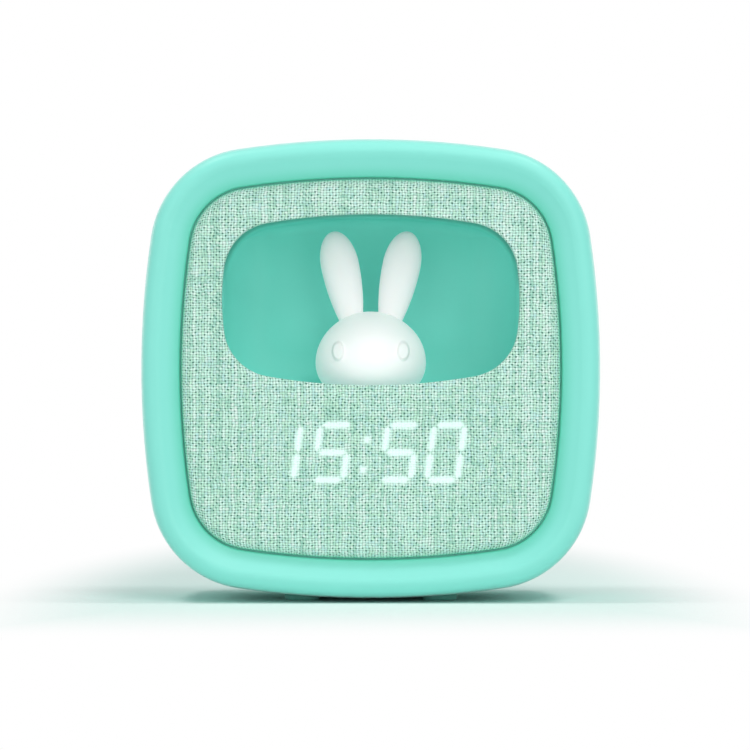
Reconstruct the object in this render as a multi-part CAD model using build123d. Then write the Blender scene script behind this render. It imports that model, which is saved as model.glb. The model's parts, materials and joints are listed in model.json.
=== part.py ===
from build123d import *
import os
from dataclasses import dataclass, replace
from math import cos, radians, sin, sqrt, tan

# Kids' alarm clock with a rabbit night light in a niche over a seven-segment display.
# Millimetres. X runs to the right, -Y to the front and +Z up. The origin is on the table,
# under the middle of the clock.

# ---- Housing: a soft square ring with a rolled front lip, closed by a cap at the back ----
width = 120.0
height = 120.0
depth = 56.0
side_bow = 233.0            # radius of each bowed side of the front view
corner_radius = 27.0
ground_gap = 0.5            # the belly clears the table by this much
wall = 2.4
front_reach = 19.0          # from the crown of the lip back to the fullest section
lip_roll = 3.2              # radius over the front lip
lip_lean = 1.0              # how far the side has drawn in where that roll starts
crease_inset = 10.95        # from the outline in to the edge of the fabric
crease_depth = 3.2          # how far the lip slopes back before it meets the fabric
crease_roll = 0.9           # its inner edge is rounded over by this radius
cap_depth = 14.0            # length of the rear cover along the side
seam_gap = 0.3
rear_roll = 9.0
rear_lean = 2.2
cover_rim_width = 1.3       # flat strip inside the rolled rear edge
tongue_length = 2.5
tongue_thickness = 1.2
fit_gap = 0.15              # between parts that slide together once
ledge_width = 2.45          # what the front panel sits on, inside the crease
ledge_thickness = 1.8

# ---- Fabric front and its panel ----
fabric_thickness = 0.7
fabric_front_drop = 1.3     # from the crown of the lip back to the cloth
fabric_roll = 2.0
fabric_gap = 0.05
panel_thickness = 2.4

# ---- Window and niche ----
window_side_margin = 21.55   # from the clock's side in to the window
window_top_margin = 20.1
window_foot_drop = 4.3      # its lower edge is this far under the middle of the clock
window_side_bow = 61.9
window_top_bow = 155.6
window_corner = 13.45
window_edge_roll = 0.5
niche_rear_room = 8.8       # left for the leads between the niche and the main board
niche_drop = 5.2            # the niche floor is this far under the window's edge
niche_wall = 1.8
cove_tightening = 2.5       # the walls' coves into the back wall are this much tighter than the head
niche_ceiling_cove = 3.0
niche_side_lug_rise = 15.0  # its side screws, over the niche floor
niche_top_lug_inset = 16.45  # its upper screws, in from the window's sides

# ---- Screws and bosses ----
boss_radius = 2.6
boss_height = 3.0
pilot_depth = 4.0
small_screw_radius = 0.95
small_head_radius = 1.9
small_head_height = 1.2
thread_gap = 0.05
shank_gap = 0.2
screw_tip_gap = 0.4         # left under each screw's tip
lug_clearance = 0.35
lug_thickness = 1.6
rear_screw_inset = 19.0     # from the outline's flats in to each rear screw
rear_screw_radius = 1.2
rear_screw_length = 13.0
rear_head_radius = 2.6
rear_head_height = 1.8
rear_boss_radius = 3.6
rear_tube_radius = 3.8
rear_tube_floor = 3.7
rear_boss_stop = 4.0        # the bosses end this far in front of the seam
rib_thickness = 1.5
rib_start_back = 4.0        # the ribs end this far in front of the bosses' ends
panel_screw_margin = 1.2    # between the panel's ledge and its bosses
panel_screw_fall = 24.5     # the panel's lower and upper screws, from the middle of the clock
panel_screw_rise = 27.5
panel_tab_margin = 0.3
board_screw_bite = 5.0
speaker_screw_length = 3.0

# ---- Rabbit lamp ----
head_front_gap = 0.5        # between the head and the back of the panel
head_rear_gap = 1.0         # between the head and the niche's back wall
crown_flattening = 1.0      # the crown rises this much less than the head's own radius
chin_flattening = 3.9       # the chin falls this much less than the head's own radius
cheek_tightening = 2.0      # the cheeks curve this much tighter than the head's own radius
jaw_tightening = 1.6        # the jaw curves this much tighter than the chin falls
head_floor_gap = 0.4        # between the chin and the niche floor
lamp_wall = 1.6
neck_reach = 3.4            # under the niche floor
base_rim = 1.6              # the base disc is this much wider than the neck
base_height = 1.2
eye_width = 3.1
eye_height = 5.0
eye_spread = 8.5
eye_lift = 3.1
eye_raise = 0.5
ear_half_width = 5.0
ear_tip_rise = 9.0          # from the ear's widest level to its tip
ear_bow = 2.44              # each flank swells by this from its foot to its widest level
ear_headroom = 3.8          # from the ears' tips up to the top of the window
ear_tilt = 11.9
ear_spread = 4.7
ear_foot_sink = 4.0         # foot of the ear's axis under the crown's own level
ear_thinness = 0.68
ear_back = 3.0
ear_pin_radius = 1.8
ear_pin_length = 3.0
ear_seat_gap = 0.1
nut_gap = 0.8               # between the nut and the display board
nut_rim = 2.0               # the nut is this much wider than the neck
nut_seat_margin = 0.6
nut_height = 2.6
lamp_board_margin = 2.6     # round its screws
lamp_board_gap = 1.2        # between the lamp board and the display board
board_thickness = 1.6
lamp_post_height = 4.2
lamp_connector_margin = 1.6     # from its socket to the rear edge of the lamp board
lamp_post_radius = 2.2
lamp_post_gap = 2.7         # between the nut and the lamp board's posts
lamp_chip = 3.5
lamp_chip_height = 0.72

# ---- Display ----
display_drop = 21.6         # its middle is this far under the middle of the clock
display_shift = -1.35       # and this far to the side
digit_height = 15.9
digit_width = 7.8           # between the middles of its upright bars
digit_pitch = 12.0
colon_pitch = 17.4          # between the digits on each side of the colon
colon_spread = 3.85
bar_thickness = 1.8
bar_gap = 0.35
digit_slant = 8.2
mask_margin = 1.76
mask_side_margin = 3.4
display_screw_spread = 20.0
display_lug_gap = 1.1       # between the mask's lower edge and its bosses
mask_depth = 7.0
lens_depth = 2.0
led_size = 1.2
led_height = 0.7

# ---- Rear cover: keys, alarm switch, socket and loudspeaker ----
tray_depth = 1.2
tray_margin = 3.0
key_count_each_side = 2
key_pitch = 13.0
key_width = 9.0
key_height = 6.0
key_corner = 2.0
key_gap = 0.2
key_sink = 0.3              # the key's face stays this far inside the back
key_flange = 1.0
key_flange_thickness = 1.0
key_slack = 0.3
key_travel = 0.5
key_row_rise = 29.0         # over the middle of the clock
plunger_radius = 1.3
lower_row_inset = 8.0       # the socket and the slide switch, over the main board's lower edge
switch_body = 6.0
switch_body_height = 3.1
switch_stem_radius = 1.7
switch_stem_height = 0.6
slider_shift = 17.5
slider_width = 4.0
slider_height = 3.2
slider_travel = 3.0
slider_cover = 0.6          # the skirt laps the slot's ends by this at full travel
slider_skirt_rise = 1.2
slider_skirt = slider_travel + key_gap + slider_cover
slider_skirt_thickness = 0.8
slider_body_width = 11.0
slider_body_height = 5.0
socket_shift = -20.0
socket_width = 9.0
socket_height = 3.2
socket_shell = 0.4
socket_sink = 1.1
grille_drop = 27.0
grille_radius = 11.0
grille_pitch = 3.6
grille_hole_radius = 0.9

# ---- Main board, loudspeaker, battery ----
main_board_width = 66.0
main_board_height = 38.0
main_board_middle = 22.5    # over the middle of the clock
chip_height = 1.2
processor_size = 10.0
processor_shift = -6.0
amplifier_width = 6.0
amplifier_height = 5.0
amplifier_shift = 14.0
charger_size = 5.0
charger_shift = -21.0
chip_rise = 6.0             # the processor and the amplifier, over the middle of the board
main_board_stand = 6.5      # length of the posts that hold it off the cover
main_post_radius = 2.6
main_post_inset = 3.4
connector_height = 2.0
connector_length = 4.0
connector_width = 6.0
speaker_radius = 14.0
speaker_rim_thickness = 2.0
speaker_depth = 6.4
magnet_radius = 8.0
magnet_height = 3.4
gasket_thickness = 0.8
cone_depth = 3.2
dome_rise = 1.0
cone_thickness = 0.5
collar_thickness = 1.2
battery_width = 48.0
battery_headroom = 6.0      # from the cell up to the level of the leads
battery_thickness = 7.0
battery_shelf = 7.5         # top of the shelf under the cell, over the lowest point of the belly
battery_middle = 19.2       # middle of the cell, behind the crown
battery_pad_thickness = 1.0
cradle_wall = 1.6
cradle_height = 12.0
cradle_shelf = 1.5
cradle_gap = 0.3
cradle_lip = 3.0            # left in front of and behind the cell under the cradle's cut-out

# ---- Feet ----
foot_spread = 18.0
foot_width = 9.0
foot_length = 26.0
foot_corner = 3.0
foot_roll = 0.6
foot_height = 3.2
foot_middle = -1.0
foot_pad = 2.0

# ---- Leads ----
lead_radius = 0.6
lead_bend = 2.0
lead_fall = 4.2             # the leads run this far under the niche
lead_plug_rise = 7.5        # their sockets, over the lower edge of the main board
plug_reach = 2.5
battery_lead_shift = -20.0
lamp_lead_shift = 0.0
speaker_lead_shift = 11.0
speaker_lead_drop = 15.0    # where its lead turns forward, under the sockets
speaker_tag_height = 5.0
speaker_tag_width = 2.6
speaker_tag_depth = 2.8
ribbon_gap = 1.0            # between its socket and the lamp board
ribbon_socket_margin = 0.5  # the socket is this much wider than the ribbon at each side
ribbon_width = 8.0
ribbon_thickness = 0.4


# ---- Levels that follow from these ----
crown_y = -depth / 2
back_y = depth / 2
fullest_y = crown_y + front_reach
seam_y = back_y - cap_depth
cover_start_y = seam_y + seam_gap
cover_inside_y = back_y - wall
centre_z = ground_gap + height / 2
cloth_y = crown_y + fabric_front_drop
panel_front_y = cloth_y + fabric_thickness
panel_back_y = panel_front_y + panel_thickness
boss_top_y = panel_back_y + boss_height
lug_back_y = boss_top_y + lug_thickness
rear_boss_y = seam_y - rear_boss_stop
tube_floor_y = rear_boss_y + rear_tube_floor
display_z = centre_z - display_drop
mask_back_y = panel_front_y + mask_depth
display_board_y = mask_back_y + board_thickness
board_rear_y = cover_inside_y - main_board_stand
board_front_y = board_rear_y - board_thickness
niche_back_y = board_front_y - niche_rear_room - niche_wall
board_z = centre_z + main_board_middle
lead_end_y = board_front_y - connector_height
lead_rise_y = lead_end_y - plug_reach
lead_plug_z = board_z - main_board_height / 2 + lead_plug_rise
key_z = centre_z + key_row_rise
lower_z = board_z - main_board_height / 2 + lower_row_inset
speaker_z = centre_z - grille_drop
speaker_front_y = cover_inside_y - gasket_thickness     # the side that faces the grille
speaker_rim_y = speaker_front_y - speaker_rim_thickness
beyond = 2 * max(width, height, depth)   # longer than anything it has to cut through


@dataclass(frozen=True)
class Rim:
    """A soft square seen from the front: four bowed sides joined by round corners, all tangent."""
    half_width: float
    half_height: float
    side_radius: float
    top_radius: float
    corner: float
    middle_z: float
    drop: float = 0.0        # straight stretch between the upper and the lower half

    def inset(self, gap):
        return replace(self, half_width=self.half_width - gap, half_height=self.half_height - gap,
                       side_radius=self.side_radius - gap, top_radius=self.top_radius - gap,
                       corner=self.corner - gap)

    def centres(self):
        side = Vector(self.half_width - self.side_radius, 0)
        top = Vector(0, self.half_height - self.top_radius)
        side_reach = self.side_radius - self.corner
        top_reach = self.top_radius - self.corner
        apart = (top - side).length
        along = (side_reach**2 - top_reach**2 + apart**2) / (2 * apart)
        ahead = (top - side).normalized()
        across = Vector(-ahead.Y, ahead.X)
        return side, top, side + ahead * along + across * sqrt(side_reach**2 - along**2)

    def wire(self, y):
        side, top, corner = self.centres()
        low = side + (corner - side).normalized() * self.side_radius
        high = top + (corner - top).normalized() * self.top_radius
        bend = corner + ((low - corner).normalized() + (high - corner).normalized()).normalized() * self.corner
        flank = side + ((low - side).normalized() + Vector(1, 0)).normalized() * self.side_radius
        apex = Vector(self.half_width, 0)
        peak = Vector(0, self.half_height)

        def at(point, right, up):
            fall = self.drop if up < 0 else 0.0
            return Vector(right * point.X, y, self.middle_z + up * point.Y - fall)

        def flank_edges(right, up):
            first, last = at(low, right, up), at(low, right, -up)
            if self.drop == 0:
                return [ThreePointArc(first, at(apex, right, up), last)]
            return [ThreePointArc(first, at(flank, right, up), at(apex, right, up)),
                    Line(at(apex, right, up), at(apex, right, -up)),
                    ThreePointArc(at(apex, right, -up), at(flank, right, -up), last)]

        def corner_edge(right, up, first, last):
            return ThreePointArc(at(first, right, up), at(bend, right, up), at(last, right, up))

        return Wire([
            ThreePointArc(at(high, -1, 1), at(peak, 1, 1), at(high, 1, 1)),
            corner_edge(1, 1, high, low),
            *flank_edges(1, 1),
            corner_edge(1, -1, low, high),
            ThreePointArc(at(high, 1, -1), at(peak, 1, -1), at(high, -1, -1)),
            corner_edge(-1, -1, high, low),
            *flank_edges(-1, -1),
            corner_edge(-1, 1, low, high)])

    def slab(self, front_y, rear_y):
        return Solid.extrude(Face(self.wire(front_y)), Vector(0, rear_y - front_y, 0))

    def ring(self, section):
        """Sweep a closed section round the rim; its points are (y, distance in from the rim)."""
        path = self.wire(0)
        plane = Plane(origin=path @ 0, z_dir=path % 0, x_dir=(0, 1, 0))
        return sweep(plane * make_face(Wire(section)), path=path)

    def top_at(self, x):
        return self.middle_z + self.half_height - self.top_radius + sqrt(self.top_radius**2 - x**2)


outline = Rim(width / 2, height / 2, side_bow, side_bow, corner_radius, centre_z)
window_width = width - 2 * window_side_margin
window_top_z = centre_z + height / 2 - window_top_margin
window_foot_z = centre_z - window_foot_drop
window = Rim(window_width / 2, (window_top_z - window_foot_z) / 2, window_side_bow, window_top_bow,
             window_corner, (window_top_z + window_foot_z) / 2)
niche_outline = replace(window, drop=niche_drop)
niche_floor_z = window_foot_z - niche_drop
niche_under_z = niche_floor_z - niche_wall
lead_run_z = niche_under_z - lead_fall
lamp_board_top = niche_under_z - lamp_post_height
lamp_board_under = lamp_board_top - board_thickness
head_radius = (niche_back_y - panel_back_y - head_front_gap - head_rear_gap) / 2
cheek_radius = head_radius - cheek_tightening
niche_cove = head_radius - cove_tightening
head_rise = head_radius - crown_flattening
head_fall = head_radius - chin_flattening
jaw_radius = head_fall - jaw_tightening
head_z = niche_floor_z + head_fall + head_floor_gap
head_y = panel_back_y + head_front_gap + head_radius
nut_radius = head_y - display_board_y - nut_gap
neck_radius = nut_radius - nut_rim
base_radius = neck_radius + base_rim
lamp_post_spread = nut_radius + lamp_post_gap + lamp_post_radius
lamp_board_width = 2 * (lamp_post_spread + lamp_board_margin)
lamp_board_depth = 2 * (head_y - display_board_y - lamp_board_gap)
ribbon_shift = lamp_board_width / 2 + ribbon_gap + ribbon_socket_margin + ribbon_width / 2
lamp_connector_y = head_y + lamp_board_depth / 2 - lamp_connector_margin - connector_length
ear_foot_z = head_z + head_rise - ear_foot_sink
ear_length = (window_top_z - ear_headroom - ear_foot_z) / cos(radians(ear_tilt))
battery_y = crown_y + battery_middle
battery_shelf_z = ground_gap + battery_shelf
battery_low_z = battery_shelf_z + battery_pad_thickness
battery_top_z = lead_run_z - battery_headroom
speaker_rear_y = speaker_front_y - speaker_depth


@dataclass(frozen=True)
class Flank:
    """Side wall seen in section: a shallow bow from the fullest plane that ends in a roll."""
    edge_y: float
    lean: float
    roll: float

    def roll_centre(self):
        toward = 1 if self.edge_y > fullest_y else -1
        return Vector(self.edge_y - toward * self.roll, self.lean + self.roll)

    def bow(self):
        centre = self.roll_centre()
        run = centre.X - fullest_y
        return (centre.Y**2 + run**2 - self.roll**2) / (2 * self.lean)

    def bow_centre(self):
        return Vector(fullest_y, self.bow())

    def at(self, y, deep=0.0):
        """Point of the wall at y, on its outside or `deep` inside it."""
        radius = self.bow() - deep
        return Vector(y, self.bow() - sqrt(radius**2 - (y - fullest_y)**2))

    def roll_start(self, deep=0.0):
        centre = self.bow_centre()
        return centre + (self.roll_centre() - centre).normalized() * (self.bow() - deep)


front_flank = Flank(crown_y, lip_lean, lip_roll)
rear_flank = Flank(back_y, rear_lean, rear_roll)


def section_point(point):
    return Vector(point.X, -point.Y)


def section_line(start, end):
    return Line(section_point(start), section_point(end))


def section_arc(centre, start, end):
    radius = (start - centre).length
    middle = centre + ((start - centre).normalized() + (end - centre).normalized()).normalized() * radius
    return ThreePointArc(section_point(start), section_point(middle), section_point(end))


def section_path(points):
    return [section_line(start, end) for start, end in zip(points, points[1:])]


# ---- Small shapes used by many pieces ----
def block(x_span, y_span, z_span):
    size = [high - low for low, high in (x_span, y_span, z_span)]
    middle = [(high + low) / 2 for low, high in (x_span, y_span, z_span)]
    return Pos(*middle) * Box(*size)


def around(middle, size):
    return (middle - size / 2, middle + size / 2)


def rod(x, z, radius, front_y, rear_y):
    """Cylinder along Y."""
    return Solid.make_cylinder(radius, rear_y - front_y, Plane(origin=(x, front_y, z), z_dir=(0, 1, 0)))


def post(x, y, radius, low_z, high_z):
    """Cylinder along Z."""
    return Solid.make_cylinder(radius, high_z - low_z, Plane(origin=(x, y, low_z)))


def plate_along_y(sketch, x, z, front_y, rear_y):
    """Extrude a sketch, drawn as seen from the back, from front_y to rear_y."""
    plane = Plane(origin=(x, front_y, z), x_dir=(-1, 0, 0), z_dir=(0, 1, 0))
    return extrude(plane * sketch, amount=rear_y - front_y)


def edges_at_y(shape, y):
    return [edge for edge in shape.edges() if abs(edge.bounding_box().min.Y - y) < 1e-5
            and abs(edge.bounding_box().max.Y - y) < 1e-5]


def fused(shapes):
    total = shapes[0]
    for shape in shapes[1:]:
        total = total + shape
    return total


def group(shapes):
    return Compound(children=[Compound([solid]) for shape in shapes for solid in shape.solids()])


def mirrored_places(x, z_values):
    return [(side * x, z) for z in z_values for side in (-1, 1)]


# ---- Places of the screws ----
rear_screw_places = mirrored_places(
    width / 2 - rear_screw_inset,
    (centre_z + height / 2 - rear_screw_inset, centre_z - height / 2 + rear_screw_inset))
niche_side_x = window_width / 2 + niche_wall + boss_radius + lug_clearance
niche_top_x = window_width / 2 - niche_top_lug_inset
niche_screw_places = (
    mirrored_places(niche_side_x, (niche_floor_z + niche_side_lug_rise,))
    + mirrored_places(niche_top_x, (window.top_at(niche_top_x) + niche_wall + boss_radius + lug_clearance,)))
panel_screw_x = width / 2 - crease_inset - ledge_width - boss_radius - panel_screw_margin
panel_screw_places = mirrored_places(panel_screw_x, (centre_z - panel_screw_fall, centre_z + panel_screw_rise))
display_half_width = colon_pitch / 2 + digit_pitch + digit_width / 2 + mask_side_margin
display_half_height = digit_height / 2 + mask_margin
display_top_z = display_z + display_half_height
mask_low_z = display_z - display_half_height
display_screw_z = mask_low_z - display_lug_gap - boss_radius
display_screw_places = [(display_shift + side * display_screw_spread, display_screw_z) for side in (-1, 1)]


# ---- Housing ----
def tangent_point(outside, centre, radius):
    """Where a line from a point touches a circle, on the side nearer the crown."""
    toward = outside - centre
    share = radius / toward.length
    lean = sqrt(1 - share**2)
    ahead = toward.normalized()
    sides = [Vector(ahead.X * share - turn * ahead.Y * lean, ahead.Y * share + turn * ahead.X * lean)
             for turn in (-1, 1)]
    return centre + min(sides, key=lambda side: side.X) * radius


def lip_section():
    """Closed section of the front housing, from the crease over the lip to the seam and back."""
    crease = Vector(crown_y + crease_depth, crease_inset)
    roll_centre = front_flank.roll_centre()
    crest = tangent_point(crease, roll_centre, lip_roll)
    outward = (crest - roll_centre).normalized()
    down_slope = (crease - crest).normalized()
    inner_crease = crease - outward * wall
    bow_centre = front_flank.bow_centre()
    reach = inner_crease - bow_centre
    inner_radius = front_flank.bow() - wall
    along = reach.dot(down_slope)
    inner_corner = inner_crease - down_slope * (along + sqrt(along**2 - reach.length**2 + inner_radius**2))
    roll_start = front_flank.roll_start()
    fullest = front_flank.at(fullest_y)
    inner_fullest = front_flank.at(fullest_y, wall)
    seam = rear_flank.at(seam_y)
    inner_seam = rear_flank.at(seam_y, wall)
    rear_centre = rear_flank.bow_centre()
    edge_centre = crease - (down_slope + outward) * crease_roll
    return [
        section_line(crease - down_slope * crease_roll, crest),
        section_arc(roll_centre, crest, roll_start),
        section_arc(bow_centre, roll_start, fullest),
        section_arc(rear_centre, fullest, seam),
        section_line(seam, inner_seam),
        section_arc(rear_centre, inner_seam, inner_fullest),
        section_arc(bow_centre, inner_fullest, inner_corner),
        section_line(inner_corner, inner_crease),
        section_line(inner_crease, crease - outward * crease_roll),
        section_arc(edge_centre, crease - outward * crease_roll, crease - down_slope * crease_roll)]


def panel_ledge():
    """Flat ring inside the crease that the front panel sits against, notched round its bosses."""
    seat_y = panel_back_y + ledge_thickness
    inner = outline.inset(crease_inset + ledge_width)
    ledge = outline.inset(crease_inset - 2.0).slab(panel_back_y, seat_y) - inner.slab(panel_back_y, seat_y)
    for x, z in panel_screw_places + niche_screw_places:
        ledge = ledge - rod(x, z, boss_radius + lug_clearance, panel_back_y - 1, seat_y + 1)
    return ledge


def housing_bosses():
    """Rear screw bosses, each braced to its corner by a diagonal rib."""
    start_y = panel_back_y + ledge_thickness / 2
    half = rear_screw_inset * 1.1
    pieces = []
    for x, z in rear_screw_places:
        turn = 45 if x * (z - centre_z) < 0 else -45
        rib = Pos(x, 0, z) * Rot(0, turn, 0) * block(
            (0, half) if x > 0 else (-half, 0), (start_y, rear_boss_y - rib_start_back), around(0, rib_thickness))
        pieces += [rod(x, z, rear_boss_radius, start_y, rear_boss_y), rib]
    return pieces


def panel_tabs():
    """Short arms from the side walls that the panel screws pass through."""
    arm = 2 * (boss_radius + panel_tab_margin)
    pieces = []
    for x, z in panel_screw_places:
        outer = width / 2 if x > 0 else -width / 2
        pieces.append(block((min(x, outer), max(x, outer)), (boss_top_y, lug_back_y), around(z, arm)))
        pieces.append(rod(x, z, arm / 2, boss_top_y, lug_back_y))
    return pieces


def battery_cradle():
    """Open-topped pocket on the belly for the lower half of the cell."""
    outer_x = battery_width + 2 * (cradle_gap + cradle_wall)
    outer_y = battery_thickness + 2 * (cradle_gap + cradle_wall)
    box = block(around(0, outer_x), around(battery_y, outer_y), (0, battery_shelf_z + cradle_height))
    pocket = block(around(0, battery_width + 2 * cradle_gap), around(battery_y, battery_thickness + 2 * cradle_gap),
                   (battery_shelf_z, beyond))
    tunnel = block(around(0, battery_width * 0.8), around(battery_y, beyond), (-1, battery_shelf_z - cradle_shelf))
    view = block(around(0, battery_width * 0.6), around(battery_y, beyond), (battery_shelf_z + cradle_lip, beyond))
    return box - pocket - tunnel - view


def foot_space(x, gap):
    sketch = RectangleRounded(foot_width + 2 * gap, foot_length + 2 * gap, foot_corner + gap)
    return extrude(Pos(x, foot_middle, 0) * sketch, amount=foot_height)


def foot_seats():
    """Flat pads inside the belly that keep the wall thick over the foot pockets."""
    return [block(around(x, foot_width + 3), around(foot_middle, foot_length + 3),
                  (ground_gap, foot_height + foot_pad)) for x in (-foot_spread, foot_spread)]


def front_housing():
    ring = outline.ring(lip_section())
    inside = outline.inset(wall / 2).slab(crown_y, seam_y - tongue_length - 0.5)
    ribs = fused([*housing_bosses(), *panel_tabs(), battery_cradle(), *foot_seats()]) & inside
    body = ring + panel_ledge() + ribs
    for x, z in rear_screw_places:
        body = body - rod(x, z, rear_screw_radius + thread_gap, rear_boss_y - rear_screw_length, rear_boss_y + 1)
    for x, z in panel_screw_places:
        body = body - rod(x, z, small_screw_radius + shank_gap, boss_top_y - 1, lug_back_y + 1)
    for x in (-foot_spread, foot_spread):
        body = body - foot_space(x, fit_gap)
    return body


# ---- Rear cover ----
def cover_section():
    """Closed section of the cap: side wall, rolled rear edge, flat rim, and the tongue at the seam."""
    flat_end = rear_lean + rear_roll + cover_rim_width
    roll_centre = rear_flank.roll_centre()
    bow_centre = rear_flank.bow_centre()
    start = rear_flank.at(cover_start_y)
    roll_start = rear_flank.roll_start()
    roll_end = Vector(back_y, roll_centre.Y)
    inner_roll_end = Vector(cover_inside_y, roll_centre.Y)
    inner_roll_start = rear_flank.roll_start(wall)
    tongue_outer = rear_flank.at(seam_y, wall).Y + fit_gap
    tongue_inner = tongue_outer + tongue_thickness
    tongue_root = rear_flank.at(cover_start_y + tongue_thickness * 1.5, wall)
    tongue_end_y = seam_y - tongue_length
    return [
        section_arc(bow_centre, start, roll_start),
        section_arc(roll_centre, roll_start, roll_end),
        *section_path([roll_end, Vector(back_y, flat_end), Vector(cover_inside_y, flat_end), inner_roll_end]),
        section_arc(roll_centre, inner_roll_end, inner_roll_start),
        section_arc(bow_centre, inner_roll_start, tongue_root),
        *section_path([tongue_root, Vector(tongue_root.X, tongue_inner), Vector(tongue_end_y, tongue_inner),
                       Vector(tongue_end_y, tongue_outer), Vector(cover_start_y, tongue_outer), start])]


def key_places():
    return [(index * key_pitch, key_z) for index in range(-key_count_each_side, key_count_each_side + 1)]


def key_tray():
    row = 2 * key_count_each_side * key_pitch + key_width + 2 * tray_margin
    tall = key_height + 2 * tray_margin
    return plate_along_y(RectangleRounded(row, tall, tall / 2 - 0.1), 0, key_z, back_y - tray_depth, back_y + 1)


def slider_tray():
    wide = slider_width + slider_travel + 2 * tray_margin
    tall = slider_height + 2 * tray_margin
    return plate_along_y(RectangleRounded(wide, tall, tall / 2 - 0.1), slider_shift + slider_travel / 2, lower_z,
                         back_y - tray_depth, back_y + 1)


def grille_places():
    """Hexagonal rows of holes inside a circle."""
    rows = int(grille_radius / grille_pitch) + 1
    places = []
    for row in range(-rows, rows + 1):
        for column in range(-rows, rows + 1):
            x = (column + 0.5 * (row % 2)) * grille_pitch
            z = row * grille_pitch * sin(radians(60))
            if sqrt(x**2 + z**2) <= grille_radius:
                places.append((x, speaker_z + z))
    return places


def speaker_screw_places():
    reach = speaker_radius + fit_gap + small_screw_radius + thread_gap + 0.1
    return [(reach * sin(radians(turn)), speaker_z + reach * cos(radians(turn))) for turn in (0, 120, 240)]


def main_screw_places():
    return mirrored_places(main_board_width / 2 - main_post_inset,
                           [board_z + side * (main_board_height / 2 - main_post_inset) for side in (-1, 1)])


def cover_posts():
    """Everything that stands on the inside of the cover."""
    collar_radius = speaker_radius + fit_gap + collar_thickness
    posts = [rod(0, speaker_z, collar_radius, speaker_rim_y, cover_inside_y + wall / 2)]
    for x, z in speaker_screw_places():
        posts.append(rod(x, z, boss_radius, speaker_rim_y, cover_inside_y + wall / 2))
    for x, z in main_screw_places():
        posts.append(rod(x, z, main_post_radius, board_rear_y, cover_inside_y + wall / 2))
    for x, z in rear_screw_places:
        posts.append(rod(x, z, rear_tube_radius, rear_boss_y, back_y - wall / 2))
    return posts


def rear_cover():
    plate_rim = outline.inset(rear_lean + rear_roll + cover_rim_width)
    cover = outline.ring(cover_section()) + plate_rim.slab(cover_inside_y, back_y)
    speaker_space = rod(0, speaker_z, speaker_radius + fit_gap, speaker_rim_y - 1, cover_inside_y)
    cover = fused([cover, *cover_posts()]) - speaker_space
    cover = cover - key_tray() - slider_tray()
    for x, z in key_places():
        hole = RectangleRounded(key_width + 2 * key_gap, key_height + 2 * key_gap, key_corner + key_gap)
        cover = cover - plate_along_y(hole, x, z, cover_inside_y - 1, back_y + 1)
    slot = RectangleRounded(slider_width + slider_travel + 2 * key_gap, slider_height + 2 * key_gap, 0.5)
    cover = cover - plate_along_y(slot, slider_shift + slider_travel / 2, lower_z, cover_inside_y - 1, back_y + 1)
    mouth = SlotOverall(socket_width + 2 * fit_gap, socket_height + 2 * fit_gap)
    cover = cover - plate_along_y(mouth, socket_shift, lower_z, cover_inside_y - 1, back_y + 1)
    for x, z in grille_places():
        cover = cover - rod(x, z, grille_hole_radius, cover_inside_y - 1, back_y + 1)
    for x, z in rear_screw_places:
        cover = cover - rod(x, z, rear_head_radius + shank_gap, tube_floor_y, back_y + 1)
        cover = cover - rod(x, z, rear_screw_radius + shank_gap, rear_boss_y - 1, back_y)
    for x, z in speaker_screw_places() + main_screw_places():
        cover = cover - rod(x, z, small_screw_radius + thread_gap, seam_y, cover_inside_y + wall / 4)
    return cover


def screw(x, z, shank_radius, head_radius, head_height, under_head_y, length, toward):
    """Pan-head screw along Y with a cross slot; `toward` is +1 when its head faces the back."""
    head_end = under_head_y + toward * head_height
    tip = under_head_y - toward * length
    head = rod(x, z, head_radius, min(under_head_y, head_end), max(under_head_y, head_end))
    shank = rod(x, z, shank_radius, min(under_head_y, tip), max(under_head_y, tip))
    arm, cut = head_radius * 1.2, head_radius * 0.24
    slot_y = (min(head_end, head_end - toward * head_height / 2), max(head_end, head_end - toward * head_height / 2))
    return head + shank - block(around(x, arm), slot_y, around(z, cut)) - block(around(x, cut), slot_y, around(z, arm))


def rear_screws():
    return group([screw(x, z, rear_screw_radius, rear_head_radius, rear_head_height, tube_floor_y,
                        rear_tube_floor + rear_screw_length - 1, 1) for x, z in rear_screw_places])


def small_screws(places, under_head_y, length, toward):
    return group([screw(x, z, small_screw_radius, small_head_radius, small_head_height, under_head_y, length, toward)
                  for x, z in places])


# ---- Front panel and fabric ----
def front_panel():
    panel_rim = outline.inset(crease_inset + fabric_gap + fabric_thickness)
    panel = panel_rim.slab(panel_front_y, panel_back_y)
    panel = panel.fillet(fabric_roll - fabric_thickness, edges_at_y(panel, panel_front_y))
    places = panel_screw_places + niche_screw_places + display_screw_places
    panel = fused([panel] + [rod(x, z, boss_radius, panel_front_y + 1, boss_top_y) for x, z in places])
    panel = panel - window.inset(-fabric_thickness).slab(panel_front_y - 1, panel_back_y + 1)
    panel = panel - block(around(display_shift, 2 * (display_half_width + fit_gap)), around(panel_front_y, beyond / 2),
                          around(display_z, 2 * (display_half_height + fit_gap)))
    for x, z in places:
        panel = panel - rod(x, z, small_screw_radius + thread_gap, boss_top_y - pilot_depth, boss_top_y + 1)
    return panel


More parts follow.
